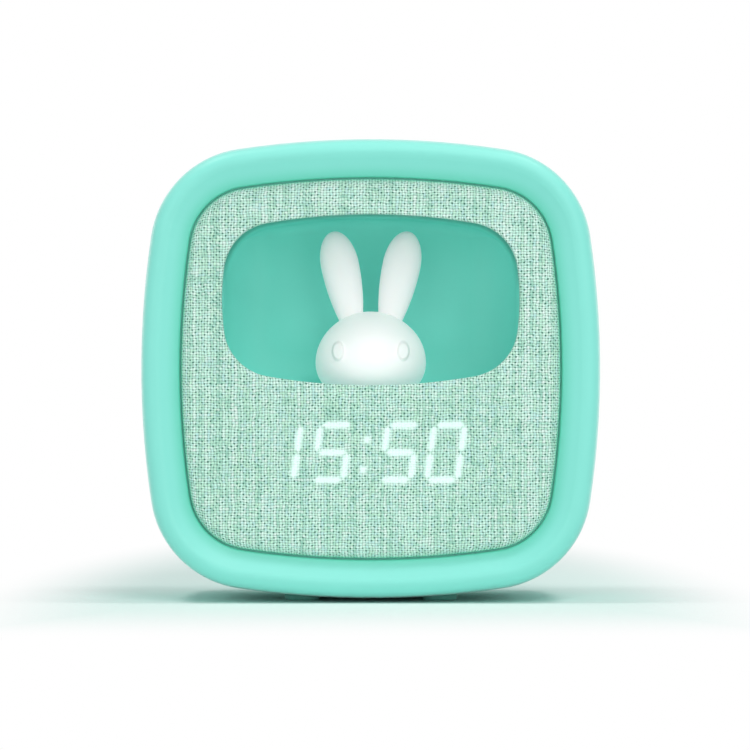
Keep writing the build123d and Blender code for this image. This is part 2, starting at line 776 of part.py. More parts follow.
def fabric_cover():
    """Woven cloth glued over the panel: flat front, rolled rim, and a turn-in round the window."""
    cloth_rim = outline.inset(crease_inset + fabric_gap)
    cloth = cloth_rim.slab(cloth_y, panel_back_y)
    cloth = cloth.fillet(fabric_roll, edges_at_y(cloth, cloth_y))
    core = cloth_rim.inset(fabric_thickness).slab(panel_front_y, panel_back_y + 1)
    core = core.fillet(fabric_roll - fabric_thickness, edges_at_y(core, panel_front_y))
    core = core - window.inset(-fabric_thickness).slab(panel_front_y - 1, panel_back_y + 2)
    cloth = cloth - core - window.slab(cloth_y - 1, panel_back_y + 1)
    inner = [edge for edge in edges_at_y(cloth, cloth_y)
             if abs(edge.center().Z - window.middle_z) < window.half_height + 1
             and abs(edge.center().X) < window.half_width + 1]
    return cloth.solids()[0].fillet(window_edge_roll, inner)


# ---- Niche ----
def niche_form(gap):
    """The niche's hollow, grown by `gap`: coved at the floor and sides, tight at the ceiling."""
    rim = niche_outline.inset(-gap)
    rear_y = niche_back_y + gap
    hollow = rim.slab(panel_back_y, rear_y)
    hollow = hollow.fillet(niche_ceiling_cove + gap, edges_at_y(hollow, rear_y))
    lift = 1.6 * niche_cove
    tall_rim = replace(rim, middle_z=rim.middle_z + lift, drop=rim.drop + lift)
    tall = tall_rim.slab(panel_back_y, rear_y)
    tall = tall.fillet(niche_cove + gap, edges_at_y(tall, rear_y))
    return hollow & tall


def niche_lugs():
    pieces = []
    for x, z in niche_screw_places:
        pieces.append(rod(x, z, boss_radius + 0.4, boss_top_y, lug_back_y))
        reach = Vector(window_width / 2 if abs(x) > window_width / 2 else abs(x), 0)
        inner_x = reach.X if x > 0 else -reach.X
        if abs(x) > window_width / 2:
            pieces.append(block((min(x, inner_x), max(x, inner_x)), (boss_top_y, lug_back_y), around(z, 2 * boss_radius)))
        else:
            low = window.top_at(x) + niche_wall / 2
            pieces.append(block(around(x, 2 * boss_radius), (boss_top_y, lug_back_y), (low, z)))
    return pieces


def niche_shell():
    shell = fused([niche_form(niche_wall), *niche_lugs()])
    for side in (-1, 1):
        x = side * lamp_post_spread
        shell = shell + post(x, head_y, lamp_post_radius, niche_under_z - lamp_post_height, niche_floor_z - 0.5)
    shell = shell + post(0, head_y, nut_radius + nut_seat_margin, niche_under_z, niche_floor_z + base_height)
    shell = shell - niche_form(0)
    shell = shell - post(0, head_y, base_radius + fit_gap, niche_floor_z, niche_floor_z + niche_cove)
    shell = shell - post(0, head_y, neck_radius + fit_gap, niche_under_z - 1, niche_floor_z + 1)
    for side in (-1, 1):
        x = side * lamp_post_spread
        shell = shell - post(x, head_y, small_screw_radius + thread_gap, niche_under_z - lamp_post_height - 1,
                             niche_under_z)
    for x, z in niche_screw_places:
        shell = shell - rod(x, z, small_screw_radius + shank_gap, boss_top_y - 1, lug_back_y + 1)
    return shell


# ---- Rabbit lamp ----
def quarter_oval(half_width, reach, flank_radius, up):
    """Two tangent arcs from the widest point to the pole, in the (radius, level) plane."""
    crown_radius = ((half_width - flank_radius)**2 + reach**2 - flank_radius**2) / (2 * (reach - flank_radius))
    flank_centre = Vector(half_width - flank_radius, 0)
    crown_centre = Vector(0, reach - crown_radius)
    ahead = (flank_centre - crown_centre).normalized()
    joint = crown_centre + ahead * crown_radius
    flank_middle = flank_centre + (ahead + Vector(1, 0)).normalized() * flank_radius
    crown_middle = crown_centre + (ahead + Vector(0, 1)).normalized() * crown_radius
    points = [Vector(half_width, 0), flank_middle, joint, crown_middle, Vector(0, reach)]
    points = [(point.X, up * point.Y) for point in points]
    return [ThreePointArc(*points[:3]), ThreePointArc(*points[2:])]


def bun(grow):
    """Head form: a full crown over a flatter chin, turned about the rabbit's upright axis."""
    radius = head_radius + grow
    upper = quarter_oval(radius, head_rise + grow, cheek_radius + grow, 1)
    lower = quarter_oval(radius, head_fall + grow, jaw_radius + grow, -1)
    axis = Line((0, head_rise + grow), (0, -head_fall - grow))
    half = Plane(origin=(0, head_y, head_z), x_dir=(1, 0, 0), z_dir=(0, -1, 0)) * make_face([*lower, *upper, axis])
    return revolve(half, Axis((0, head_y, head_z), (0, 0, 1)))


def ear_frame(side):
    """Foot of the ear's axis; its local Z runs up the ear."""
    return Pos(side * ear_spread, head_y + ear_back, ear_foot_z) * Rot(0, side * ear_tilt, 0)


def ear_pin(side, gap):
    """Peg under the ear, along the ear's own axis, that plugs into the crown."""
    top = ear_pin_length + gap
    return ear_frame(side) * Pos(0, 0, -gap) * Solid.make_cylinder(ear_pin_radius + gap, top + ear_pin_length)


def rabbit_head():
    under_z = niche_under_z - neck_reach
    head = bun(0) + post(0, head_y, neck_radius, under_z, head_z)
    head = head + post(0, head_y, base_radius, niche_floor_z, niche_floor_z + base_height)
    for side in (-1, 1):
        disc = plate_along_y(Ellipse(eye_width / 2, eye_height / 2), side * eye_spread, head_z + eye_lift,
                             head_y - beyond / 4, head_y)
        head = head + (bun(eye_raise) & disc)
    head = head - bun(-lamp_wall) - post(0, head_y, neck_radius - lamp_wall, under_z - 1, head_z)
    for side in (-1, 1):
        head = head - ear_pin(side, fit_gap)
    return head


def rabbit_ear(side):
    tip_level = ear_length - ear_tip_rise
    foot_half = ear_half_width - ear_bow
    bow_radius = (ear_bow**2 + tip_level**2) / (2 * ear_bow)
    waist = ear_half_width - (bow_radius - sqrt(bow_radius**2 - (tip_level / 2)**2))
    flank = ThreePointArc((foot_half, 0), (waist, tip_level / 2), (ear_half_width, tip_level))
    tip = EllipticalCenterArc((0, tip_level), ear_half_width, ear_tip_rise, 0, arc_size=90)
    half = make_face([flank, tip, Line((0, ear_length), (0, 0)), Line((0, 0), (foot_half, 0))])
    turned = revolve(Plane.XZ * half, Axis.Z)
    ear = ear_frame(side) * scale(turned, by=(1, ear_thinness, 1))
    return ear - bun(ear_seat_gap) + ear_pin(side, 0)


def rabbit_nut():
    """Ring nut on the neck, under the niche floor."""
    ring = post(0, head_y, nut_radius, niche_under_z - nut_height, niche_under_z)
    ring = ring - post(0, head_y, neck_radius + fit_gap, niche_under_z - nut_height - 1, niche_under_z + 1)
    for turn in range(0, 360, 30):
        notch = Pos(0, head_y, 0) * Rot(0, 0, turn) * block(
            (nut_radius - 0.5, nut_radius + 1), around(0, 1.6), (niche_under_z - nut_height - 1, niche_under_z + 1))
        ring = ring - notch
    return ring


def lamp_board():
    board = block(around(0, lamp_board_width), around(head_y, lamp_board_depth),
                  (lamp_board_under, lamp_board_top))
    for side in (-1, 1):
        board = board - post(side * lamp_post_spread, head_y, small_screw_radius + shank_gap, 0, beyond)
    return board


def lamp_leds():
    """One white chip under the head and a warm one beside it."""
    return group([block(around(x, lamp_chip), around(head_y, lamp_chip * 0.8),
                        (lamp_board_top, lamp_board_top + lamp_chip_height))
                  for x in (-lamp_chip * 0.7, lamp_chip * 0.7)])


def lamp_screws():
    return group([
        post(side * lamp_post_spread, head_y, small_screw_radius, lamp_board_under, niche_under_z - screw_tip_gap)
        + post(side * lamp_post_spread, head_y, small_head_radius, lamp_board_under - small_head_height,
               lamp_board_under)
        for side in (-1, 1)])


def lamp_connector():
    return block(around(lamp_lead_shift, connector_width), (lamp_connector_y, lamp_connector_y + connector_length),
                 (lamp_board_under - connector_height, lamp_board_under))


# ---- Display ----
def segment_places():
    """Middle and direction of each bar, in a digit's own upright frame."""
    rise = (digit_height - bar_thickness) / 2
    uprights = [(side * digit_width / 2, half * rise / 2, True) for side in (-1, 1) for half in (-1, 1)]
    flats = [(0.0, level * rise, False) for level in (-1, 0, 1)]
    return uprights + flats


def segment_outline(x, z, upright, trim):
    """Six-sided bar with pointed ends, leaning with the digit."""
    half_span = ((digit_height - bar_thickness) / 2 if upright else digit_width) / 2 - bar_gap - trim
    half = bar_thickness / 2 - trim
    points = [(half_span, 0), (half_span - half, half), (half - half_span, half),
              (-half_span, 0), (half - half_span, -half), (half_span - half, -half)]
    turned = [(b, a) if upright else (a, b) for a, b in points]
    return [(x + a + (z + b) * tan(radians(digit_slant)), z + b) for a, b in turned]


def digit_middles():
    inner = colon_pitch / 2
    return [-inner - digit_pitch, -inner, inner, inner + digit_pitch]


def light_slots(front_y, rear_y, trim):
    """One prism for each bar of the four digits and each dot of the colon."""
    shapes = []
    for middle in digit_middles():
        for x, z, upright in segment_places():
            points = [(middle + a, b) for a, b in segment_outline(x, z, upright, trim)]
            shapes.append(points)
    half = bar_thickness / 2 - trim
    for level in (-colon_spread, colon_spread):
        lean = level * tan(radians(digit_slant))
        shapes.append([(lean + a * half, level + b * half) for a, b in ((-1, -1), (1, -1), (1, 1), (-1, 1))])
    plane = Plane(origin=(display_shift, rear_y, display_z), x_dir=(1, 0, 0), z_dir=(0, -1, 0))
    return [extrude(plane * make_face(Polyline(*points, close=True)), amount=rear_y - front_y) for points in shapes]


def display_mask():
    """Opaque block behind the cloth, with one light shaft for each bar and dot."""
    mask = block(around(display_shift, 2 * display_half_width), (panel_front_y, mask_back_y),
                 around(display_z, 2 * display_half_height))
    for x, z in display_screw_places:
        arm = block(around(x, 2 * boss_radius), (boss_top_y, mask_back_y), (z, display_z))
        mask = mask + arm + rod(x, z, boss_radius, boss_top_y, mask_back_y)
    for x, z in display_screw_places:
        mask = mask - rod(x, z, small_screw_radius + shank_gap, boss_top_y - 1, mask_back_y + 1)
    for shaft in light_slots(panel_front_y - 1, mask_back_y + 1, 0):
        mask = mask - shaft
    return mask


def display_lenses():
    return group(light_slots(panel_front_y, panel_front_y + lens_depth, fit_gap / 3))


def display_board():
    board = block(around(display_shift, 2 * display_half_width), (mask_back_y, display_board_y),
                  (display_screw_z - boss_radius, display_top_z))
    for x, z in display_screw_places:
        board = board - rod(x, z, small_screw_radius + shank_gap, mask_back_y - 1, display_board_y + 1)
    return board


def display_leds():
    """One chip behind each bar and dot."""
    chips = []
    lean = tan(radians(digit_slant))
    places = [(middle + x + z * lean, z) for middle in digit_middles() for x, z, upright in segment_places()]
    places += [(level * lean, level) for level in (-colon_spread, colon_spread)]
    for x, z in places:
        chips.append(block(around(display_shift + x, led_size), (mask_back_y - led_height, mask_back_y),
                           around(display_z + z, led_size)))
    return group(chips)


def display_connector():
    return block(around(ribbon_shift, ribbon_width + 2 * ribbon_socket_margin), (display_board_y, display_board_y + connector_height),
                 around(lead_run_z, connector_length))


# ---- Main board and what it carries ----
def main_board():
    board = block(around(0, main_board_width), (board_front_y, board_rear_y), around(board_z, main_board_height))
    for x, z in main_screw_places():
        board = board - rod(x, z, small_screw_radius + shank_gap, board_front_y - 1, board_rear_y + 1)
    for x, z in rear_screw_places:
        board = board - rod(x, z, rear_tube_radius + lug_clearance, board_front_y - 1, board_rear_y + 1)
    return board


def board_chips():
    """Clock processor, audio amplifier and charger on the front of the board."""
    return group([
        block(around(x, wide), (board_front_y - chip_height, board_front_y), around(board_z + rise, tall))
        for x, rise, wide, tall in (
            (processor_shift, chip_rise, processor_size, processor_size),
            (amplifier_shift, chip_rise, amplifier_width, amplifier_height),
            (charger_shift, 0, charger_size, charger_size))])


def board_connectors():
    """Sockets for the three leads and the ribbon."""
    places = [(x, connector_width) for x in (battery_lead_shift, lamp_lead_shift, speaker_lead_shift)]
    places.append((ribbon_shift, ribbon_width + 2 * ribbon_socket_margin))
    return group([block(around(x, size), (lead_end_y, board_front_y), around(lead_plug_z, connector_length))
                  for x, size in places])


def key_switches():
    """Push switches under the keys."""
    switches = []
    for x, z in key_places():
        body = block(around(x, switch_body), (board_rear_y, board_rear_y + switch_body_height), around(z, switch_body))
        stem_end = board_rear_y + switch_body_height + switch_stem_height
        switches.append(body + rod(x, z, switch_stem_radius, board_rear_y + 1, stem_end))
    return group(switches)


def slide_switch():
    """Body of the alarm switch, with a trough for the knob's stem."""
    x = slider_shift + slider_travel / 2
    body = block(around(x, slider_body_width), (board_rear_y, board_rear_y + switch_body_height),
                 around(lower_z, slider_body_height))
    trough = block(around(x, slider_body_width - 2), (board_rear_y + 1, beyond), around(lower_z, slider_height * 0.8))
    return body - trough


def alarm_switch_knob():
    """Ribbed tab in the slot, with a skirt behind the cover and a stem in the switch."""
    face_y = back_y - key_sink
    skirt_rear = cover_inside_y - key_slack
    skirt_front = skirt_rear - slider_skirt_thickness
    tab = block(around(slider_shift, slider_width), (skirt_front, face_y), around(lower_z, slider_height))
    skirt = block(around(slider_shift, slider_width + 2 * slider_skirt), (skirt_front, skirt_rear),
                  around(lower_z, slider_height + 2 * slider_skirt_rise))
    stem_front = board_rear_y + 1 + key_slack
    stem = block(around(slider_shift, slider_width * 0.6), (stem_front, skirt_front), around(lower_z, slider_height * 0.5))
    knob = tab + skirt + stem
    for step in (-1, 0, 1):
        knob = knob - block(around(slider_shift + step * slider_width * 0.3, 0.5), (face_y - 0.4, face_y + 1),
                            around(lower_z, slider_height + 1))
    return knob


def usb_socket():
    """Charging socket: a flat oval shell with a closed back."""
    mouth_y = back_y - socket_sink
    shell = plate_along_y(SlotOverall(socket_width, socket_height), socket_shift, lower_z, board_rear_y, mouth_y)
    hollow = plate_along_y(SlotOverall(socket_width - 2 * socket_shell, socket_height - 2 * socket_shell),
                           socket_shift, lower_z, board_rear_y + 1, mouth_y + 1)
    return shell - hollow


def usb_tongue():
    """Contact tongue in the middle of the socket."""
    return block(around(socket_shift, socket_width * 0.72), (board_rear_y + 1, back_y - socket_sink - 0.8),
                 around(lower_z, 0.7))


# ---- Keys ----
def key(index):
    """Soft square key: cap in the tray, flange behind the cover, plunger over its switch."""
    x = index * key_pitch
    face_y = back_y - key_sink
    flange_rear = cover_inside_y - key_slack
    flange_front = flange_rear - key_flange_thickness
    stem_tip = board_rear_y + switch_body_height + switch_stem_height
    cap = plate_along_y(RectangleRounded(key_width, key_height, key_corner), x, key_z, flange_front, face_y)
    cap = fillet(cap.edges().filter_by(lambda edge: abs(edge.center().Y - face_y) < 1e-5), 0.5)
    flange = plate_along_y(
        RectangleRounded(key_width + 2 * key_flange, key_height + 2 * key_flange, key_corner + key_flange),
        x, key_z, flange_front, flange_rear)
    return cap + flange + rod(x, key_z, plunger_radius, stem_tip + key_travel + 0.1, flange_front + 0.2)


# ---- Loudspeaker ----
def speaker_gasket():
    ring = rod(0, speaker_z, speaker_radius, cover_inside_y - gasket_thickness, cover_inside_y)
    return ring - rod(0, speaker_z, speaker_radius - speaker_rim_thickness, cover_inside_y - gasket_thickness - 1,
                      cover_inside_y + 1)


def turned_about_speaker(points):
    """Revolve a closed outline of (radius, y) points about the loudspeaker's axis."""
    face = make_face(Polyline(*[(radius, y, speaker_z) for radius, y in points], close=True))
    return revolve(face, Axis((0, 0, speaker_z), (0, 1, 0)))


def speaker_terminal():
    """Solder tag block on the side of the basket."""
    return block(around(speaker_lead_shift, speaker_tag_width), (speaker_rear_y, speaker_rear_y + speaker_tag_depth),
                 around(speaker_z, speaker_tag_height))


def speaker_frame():
    """Pressed basket: flat rim, then a dish down to the magnet."""
    rear = speaker_rear_y
    lip = speaker_radius - speaker_rim_thickness
    return turned_about_speaker([
        (speaker_radius, speaker_front_y), (speaker_radius, speaker_rim_y), (lip, speaker_rim_y),
        (magnet_radius + 1, rear), (2, rear), (2, rear + 1), (magnet_radius, rear + 1),
        (lip - 1, speaker_rim_y + 0.6), (lip, speaker_front_y)]) + speaker_terminal()


def speaker_cone():
    """Paper cone with its dust dome, hung inside the basket."""
    lip = speaker_radius - speaker_rim_thickness - 0.6
    throat = magnet_radius / 2
    throat_y = speaker_front_y - cone_depth
    dome_y = throat_y + dome_rise
    return turned_about_speaker([
        (lip, speaker_front_y), (lip, speaker_front_y - cone_thickness),
        (throat, throat_y), (0, dome_y),
        (0, dome_y + cone_thickness), (throat, throat_y + cone_thickness),
        (lip - 1, speaker_front_y)])


def speaker_magnet():
    return rod(0, speaker_z, magnet_radius, speaker_rear_y - magnet_height, speaker_rear_y)


# ---- Battery ----
def battery_cell():
    cell = block(around(0, battery_width), around(battery_y, battery_thickness), (battery_low_z, battery_top_z))
    return fillet(cell.edges().filter_by(Axis.Z), battery_thickness * 0.3)


def battery_pad():
    return block(around(0, battery_width), around(battery_y, battery_thickness), (battery_shelf_z, battery_low_z))


# ---- Feet ----
def foot(side):
    """Silicone bar in its pocket under the belly."""
    bar = foot_space(side * foot_spread, 0)
    lower = [edge for edge in bar.edges() if abs(edge.center().Z) < 1e-5]
    return fillet(lower, foot_roll)


# ---- Leads ----
def bent_strip(x, points, section):
    """Sweep a section along straight runs in the plane at x, joined by arcs; points are (y, z)."""
    path = FilletPolyline(*[(x, y, z) for y, z in points], radius=lead_bend)
    plane = Plane(origin=path @ 0, z_dir=path % 0, x_dir=(1, 0, 0))
    return sweep(plane * section, path=path)


def up_to_board(points):
    """End a route by rising behind the niche and turning into its socket on the main board."""
    last_z = points[-1][1]
    return points + [(lead_rise_y, last_z), (lead_rise_y, lead_plug_z), (lead_end_y, lead_plug_z)]


def lead(x, points):
    """Pair of wires side by side."""
    return group([bent_strip(x, up_to_board(points), Pos(side * lead_radius * 1.05, 0) * Circle(lead_radius))
                  for side in (-1, 1)])


def battery_lead():
    return lead(battery_lead_shift, [(battery_y, battery_top_z), (battery_y, lead_run_z)])


def lamp_lead():
    start_y = lamp_connector_y + connector_length
    return lead(lamp_lead_shift, [(start_y, lamp_board_under - connector_height / 2)])


def speaker_lead():
    tag_y = speaker_rear_y + speaker_tag_depth / 3
    tag_top_z = speaker_z + speaker_tag_height / 2
    return lead(speaker_lead_shift, [(tag_y, tag_top_z), (tag_y, lead_plug_z - speaker_lead_drop)])


def display_ribbon():
    start_y = display_board_y + connector_height
    return bent_strip(ribbon_shift, up_to_board([(start_y, lead_run_z)]), Rectangle(ribbon_width, ribbon_thickness))


PARTS = {
    "front_housing": front_housing,
    "rear_cover": rear_cover,
    "rear_screws": rear_screws,
    "panel_screws": lambda: small_screws(panel_screw_places, lug_back_y,
                                         lug_thickness + pilot_depth - screw_tip_gap, 1),
    "niche_screws": lambda: small_screws(niche_screw_places, lug_back_y,
                                         lug_thickness + pilot_depth - screw_tip_gap, 1),
    "display_screws": lambda: small_screws(display_screw_places, display_board_y,
                                           display_board_y - boss_top_y + pilot_depth - screw_tip_gap, 1),
    "board_screws": lambda: small_screws(main_screw_places(), board_front_y, board_thickness + board_screw_bite, -1),
    "speaker_screws": lambda: small_screws(speaker_screw_places(), speaker_rim_y, speaker_screw_length, -1),
    "front_panel": front_panel,
    "fabric_cover": fabric_cover,
    "niche_shell": niche_shell,
    "rabbit_head": rabbit_head,
    "rabbit_ear_left": lambda: rabbit_ear(-1),
    "rabbit_ear_right": lambda: rabbit_ear(1),
    "rabbit_nut": rabbit_nut,
    "lamp_board": lamp_board,
    "lamp_leds": lamp_leds,
    "lamp_screws": lamp_screws,
    "lamp_connector": lamp_connector,
    "display_mask": display_mask,
    "display_lenses": display_lenses,
    "display_board": display_board,
    "display_leds": display_leds,
    "display_connector": display_connector,
    "display_ribbon": display_ribbon,
    "main_board": main_board,
    "board_chips": board_chips,
    "board_connectors": board_connectors,
    "key_switches": key_switches,
    "slide_switch": slide_switch,
    "alarm_switch_knob": alarm_switch_knob,
    "usb_socket": usb_socket,
    "usb_tongue": usb_tongue,
    "light_key": lambda: key(-2),
    "minus_key": lambda: key(-1),
    "set_key": lambda: key(0),
    "plus_key": lambda: key(1),
    "alarm_key": lambda: key(2),
    "speaker_gasket": speaker_gasket,
    "speaker_frame": speaker_frame,
    "speaker_cone": speaker_cone,
    "speaker_magnet": speaker_magnet,
    "battery_cell": battery_cell,
    "battery_pad": battery_pad,
    "battery_lead": battery_lead,
    "lamp_lead": lamp_lead,
    "speaker_lead": speaker_lead,
    "foot_left": lambda: foot(-1),
    "foot_right": lambda: foot(1),
}

if __name__ == "__main__":
    os.makedirs("parts", exist_ok=True)
    for name, make in PARTS.items():
        export_step(make(), f"parts/{name}.step")
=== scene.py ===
import json
import math

import bpy
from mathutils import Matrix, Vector

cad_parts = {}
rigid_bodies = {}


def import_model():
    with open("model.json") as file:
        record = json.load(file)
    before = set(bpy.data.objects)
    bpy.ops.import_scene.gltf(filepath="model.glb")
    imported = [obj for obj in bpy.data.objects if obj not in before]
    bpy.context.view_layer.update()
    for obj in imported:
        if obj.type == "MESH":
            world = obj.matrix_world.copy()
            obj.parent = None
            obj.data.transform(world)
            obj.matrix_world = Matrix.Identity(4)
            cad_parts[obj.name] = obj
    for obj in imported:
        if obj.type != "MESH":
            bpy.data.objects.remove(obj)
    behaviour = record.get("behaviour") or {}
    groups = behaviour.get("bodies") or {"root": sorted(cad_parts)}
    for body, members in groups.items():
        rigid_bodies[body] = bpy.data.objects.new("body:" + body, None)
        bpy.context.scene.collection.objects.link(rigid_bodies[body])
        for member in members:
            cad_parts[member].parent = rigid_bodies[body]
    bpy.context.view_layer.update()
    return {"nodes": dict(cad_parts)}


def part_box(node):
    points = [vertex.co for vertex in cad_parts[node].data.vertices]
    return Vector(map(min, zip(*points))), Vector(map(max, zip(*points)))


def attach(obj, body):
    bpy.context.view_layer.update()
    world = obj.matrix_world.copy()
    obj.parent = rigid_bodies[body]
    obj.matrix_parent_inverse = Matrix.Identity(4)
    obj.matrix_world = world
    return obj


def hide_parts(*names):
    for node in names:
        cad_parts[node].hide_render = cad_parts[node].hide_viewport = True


# The bare clock: every moulded, turned and pressed piece at its real size, standing on the table with
# its front towards -Y. Each section below finishes one piece of it, in the order of the bench.
for spare in list(bpy.data.objects):
    bpy.data.objects.remove(spare)
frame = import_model()
nodes = frame["nodes"]
mm = 0.001


# ---- Front housing ----
# A ring of satin ABS, moulded in one piece: the rolled lip round the cloth, the pillowed sides and the
# belly. Its skin has the very fine grain of a spark-eroded tool, so it shines softly.
def srgb(red, green, blue):
    """A colour picker's 0 to 255 values as the linear colour that a shader takes."""
    shares = [value / 255 for value in (red, green, blue)]
    return tuple(s / 12.92 if s <= 0.04045 else ((s + 0.055) / 1.055) ** 2.4 for s in shares) + (1.0,)


def place_node(tree, kind, inputs=None, **settings):
    """Add a shader node; each input is a plain value or the output that feeds it."""
    made = tree.nodes.new(kind)
    for setting, value in settings.items():
        setattr(made, setting, value)
    for socket, value in (inputs or {}).items():
        if isinstance(value, bpy.types.NodeSocket):
            tree.links.new(value, made.inputs[socket])
        else:
            made.inputs[socket].default_value = value
    return made


def reckon(tree, operation, *values):
    return place_node(tree, "ShaderNodeMath", dict(enumerate(values)), operation=operation).outputs[0]


def scale_and_add(tree, value, factor, extra):
    return reckon(tree, "MULTIPLY_ADD", value, factor, extra)


def reckon_vector(tree, operation, *values):
    """A vector, or the number that a length, a distance or a dot product gives."""
    made = place_node(tree, "ShaderNodeVectorMath", dict(enumerate(values)), operation=operation)
    return made.outputs["Value" if operation in ("LENGTH", "DISTANCE", "DOT_PRODUCT") else "Vector"]


def axes_of(tree, vector):
    return place_node(tree, "ShaderNodeSeparateXYZ", {0: vector}).outputs


def join_axes(tree, *values):
    return place_node(tree, "ShaderNodeCombineXYZ", dict(enumerate(values))).outputs[0]


def soft_step(tree, value, start, end, before=0.0, after=1.0):
    """Ease from the value before to the value after while the input runs from start to end."""
    step = place_node(tree, "ShaderNodeMapRange", {0: value, 1: start, 2: end, 3: before, 4: after},
                      interpolation_type="SMOOTHSTEP")
    return step.outputs[0]


def noise(tree, place, scale, detail):
    inputs = {"Vector": place, "Scale": scale, "Detail": detail}
    return place_node(tree, "ShaderNodeTexNoise", inputs).outputs[0]


def blend_colours(tree, share, first, second, mode="MIX"):
    """Mix two colours; the node's colour sockets share their names with others, so they go by number."""
    mixer = place_node(tree, "ShaderNodeMix", {0: share, 6: first, 7: second}, data_type="RGBA",
                       blend_type=mode)
    return mixer.outputs[2]


def new_group(name, inputs, outputs):
    """An empty node group with named sockets, and the node that hands in its inputs."""
    tree = bpy.data.node_groups.new(name, "ShaderNodeTree")
    for direction, sockets in (("INPUT", inputs), ("OUTPUT", outputs)):
        for socket, kind in sockets.items():
            tree.interface.new_socket(name=socket, in_out=direction, socket_type="NodeSocket" + kind)
    return tree, tree.nodes.new("NodeGroupInput").outputs


def hand_out(tree, **values):
    place_node(tree, "NodeGroupOutput", {name.replace("_", " "): value for name, value in values.items()})


def use_group(tree, group, **values):
    inputs = {name.replace("_", " "): value for name, value in values.items()}
    return place_node(tree, "ShaderNodeGroup", inputs, node_tree=group).outputs


def new_finish(name, **settings):
    """A material with one Principled shader; the settings go straight on its own sockets."""
    material = bpy.data.materials.new(name)
    material.use_nodes = True
    tree = material.node_tree
    shader = tree.nodes["Principled BSDF"]
    for socket, value in settings.items():
        shader.inputs[socket.replace("_", " ")].default_value = value
    return material, tree, shader


def feed(tree, shader, **outputs):
    for socket, output in outputs.items():
        tree.links.new(output, shader.inputs[socket.replace("_", " ")])


def object_place(tree):
    return place_node(tree, "ShaderNodeTexCoord").outputs["Object"]


def relief(tree, height, depth):
    return place_node(tree, "ShaderNodeBump", {"Height": height, "Distance": depth}).outputs["Normal"]


def dress(material, *names):
    for name in names:
        nodes[name].data.materials.clear()
        nodes[name].data.materials.append(material)


flow_mark_scale = 22.0  # noise scales are in waves per metre
tool_grain = 2600.0
tool_grain_depth = 0.012 * mm
roughness_swing = 0.12


def moulded_skin_group():
    """Grain and slow flow marks of injection-moulded plastic."""
    tree, given = new_group(
        "moulded_skin",
        {"Place": "Vector", "Colour": "Color", "Flow Colour": "Color", "Grain": "Float",
         "Roughness": "Float"},
        {"Colour": "Color", "Roughness": "Float", "Height": "Float"})
    flow = noise(tree, given["Place"], scale=flow_mark_scale, detail=2.0)
    fine = noise(tree, given["Place"], scale=given["Grain"], detail=3.0)
    colour = blend_colours(tree, flow, given["Colour"], given["Flow Colour"])
    uneven = scale_and_add(tree, reckon(tree, "SUBTRACT", fine, 0.5), roughness_swing, given["Roughness"])
    hand_out(tree, Colour=colour, Roughness=uneven, Height=fine)
    return tree


moulded_skin = moulded_skin_group()


def moulded_plastic(name, colour, flow_colour, roughness, grain=tool_grain, painted_shade=None, **settings):
    """Plastic or rubber out of a tool; the optional shade step takes the tree, place and colour, and gives
    the colour with shade painted in.
    """
    material, tree, shader = new_finish(name, **settings)
    place = object_place(tree)
    skin = use_group(tree, moulded_skin, Place=place, Colour=colour, Flow_Colour=flow_colour, Grain=grain,
                     Roughness=roughness)
    shown = painted_shade(tree, place, skin["Colour"]) if painted_shade else skin["Colour"]
    feed(tree, shader, Base_Color=shown, Roughness=skin["Roughness"],
         Normal=relief(tree, skin["Height"], tool_grain_depth))
    return material


body_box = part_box("front_housing")
body_front = body_box[0].y
body_half = (body_box[1].x - body_box[0].x) / 2
body_middle = (body_box[1].z + body_box[0].z) / 2
mint = srgb(137, 229, 216)
mint_flow = srgb(131, 224, 211)
crease_shade_mint = srgb(98, 214, 188)
mint_roughness = 0.44
mint_gloss = {"Specular_IOR_Level": 0.6, "Sheen_Weight": 0.25, "Sheen_Roughness": 0.4}
# Where the painted crease shade on the lip begins and ends, and how far inwards the skin must face to take
# it:
lip_crown = 1.0 * mm  # depths behind the foremost line of the lip
crease_depth = 3.8 * mm
facing_inwards = -0.3  # share of the skin's normal that points away from the middle


def paint_crease_shade(tree, place, colour):
    """Painted shade: deeper mint on the flank of the lip that faces inwards, down to the crease at the
    cloth.
    """
    from_middle = reckon_vector(tree, "SUBTRACT", place, (0, 0, body_middle))
    outward = reckon_vector(tree, "NORMALIZE", reckon_vector(tree, "MULTIPLY", from_middle, (1, 0, 1)))
    normal = place_node(tree, "ShaderNodeTexCoord").outputs["Normal"]
    facing = reckon_vector(tree, "DOT_PRODUCT", normal, outward)
    inner = soft_step(tree, facing, facing_inwards, 0.0, before=1.0, after=0.0)
    low = soft_step(tree, axes_of(tree, place)["Y"], body_front + lip_crown, body_front + crease_depth)
    return blend_colours(tree, reckon(tree, "MULTIPLY", inner, low), colour, crease_shade_mint)


# The lip's mint, with painted shade on its inner flank down into the crease.
dress(moulded_plastic("mint_lip", mint, mint_flow, mint_roughness, painted_shade=paint_crease_shade, **mint_gloss),
      "front_housing")


# ---- Silicone feet ----
# Two soft mint silicone bars pressed into pockets under the belly. They lift the shell half a
# millimetre off the table and keep it from sliding.
foot_silicone = moulded_plastic("foot_silicone", srgb(118, 196, 182), srgb(110, 188, 174), 0.62,
                                grain=1900.0)
dress(foot_silicone, "foot_left", "foot_right")


# ---- Battery ----
# A flat pouch cell in bright foil, stood on a black foam pad in the cradle of the belly. Its two red
# wires run back to the main board.
def crinkled_foil():
    material, tree, shader = new_finish("pouch_foil", Metallic=0.85, Base_Color=srgb(196, 198, 202))
    creases = noise(tree, object_place(tree), scale=130.0, detail=4.0)
    dull = scale_and_add(tree, creases, factor=0.3, extra=0.2)
    feed(tree, shader, Roughness=dull, Normal=relief(tree, creases, depth=0.15 * mm))
    return material


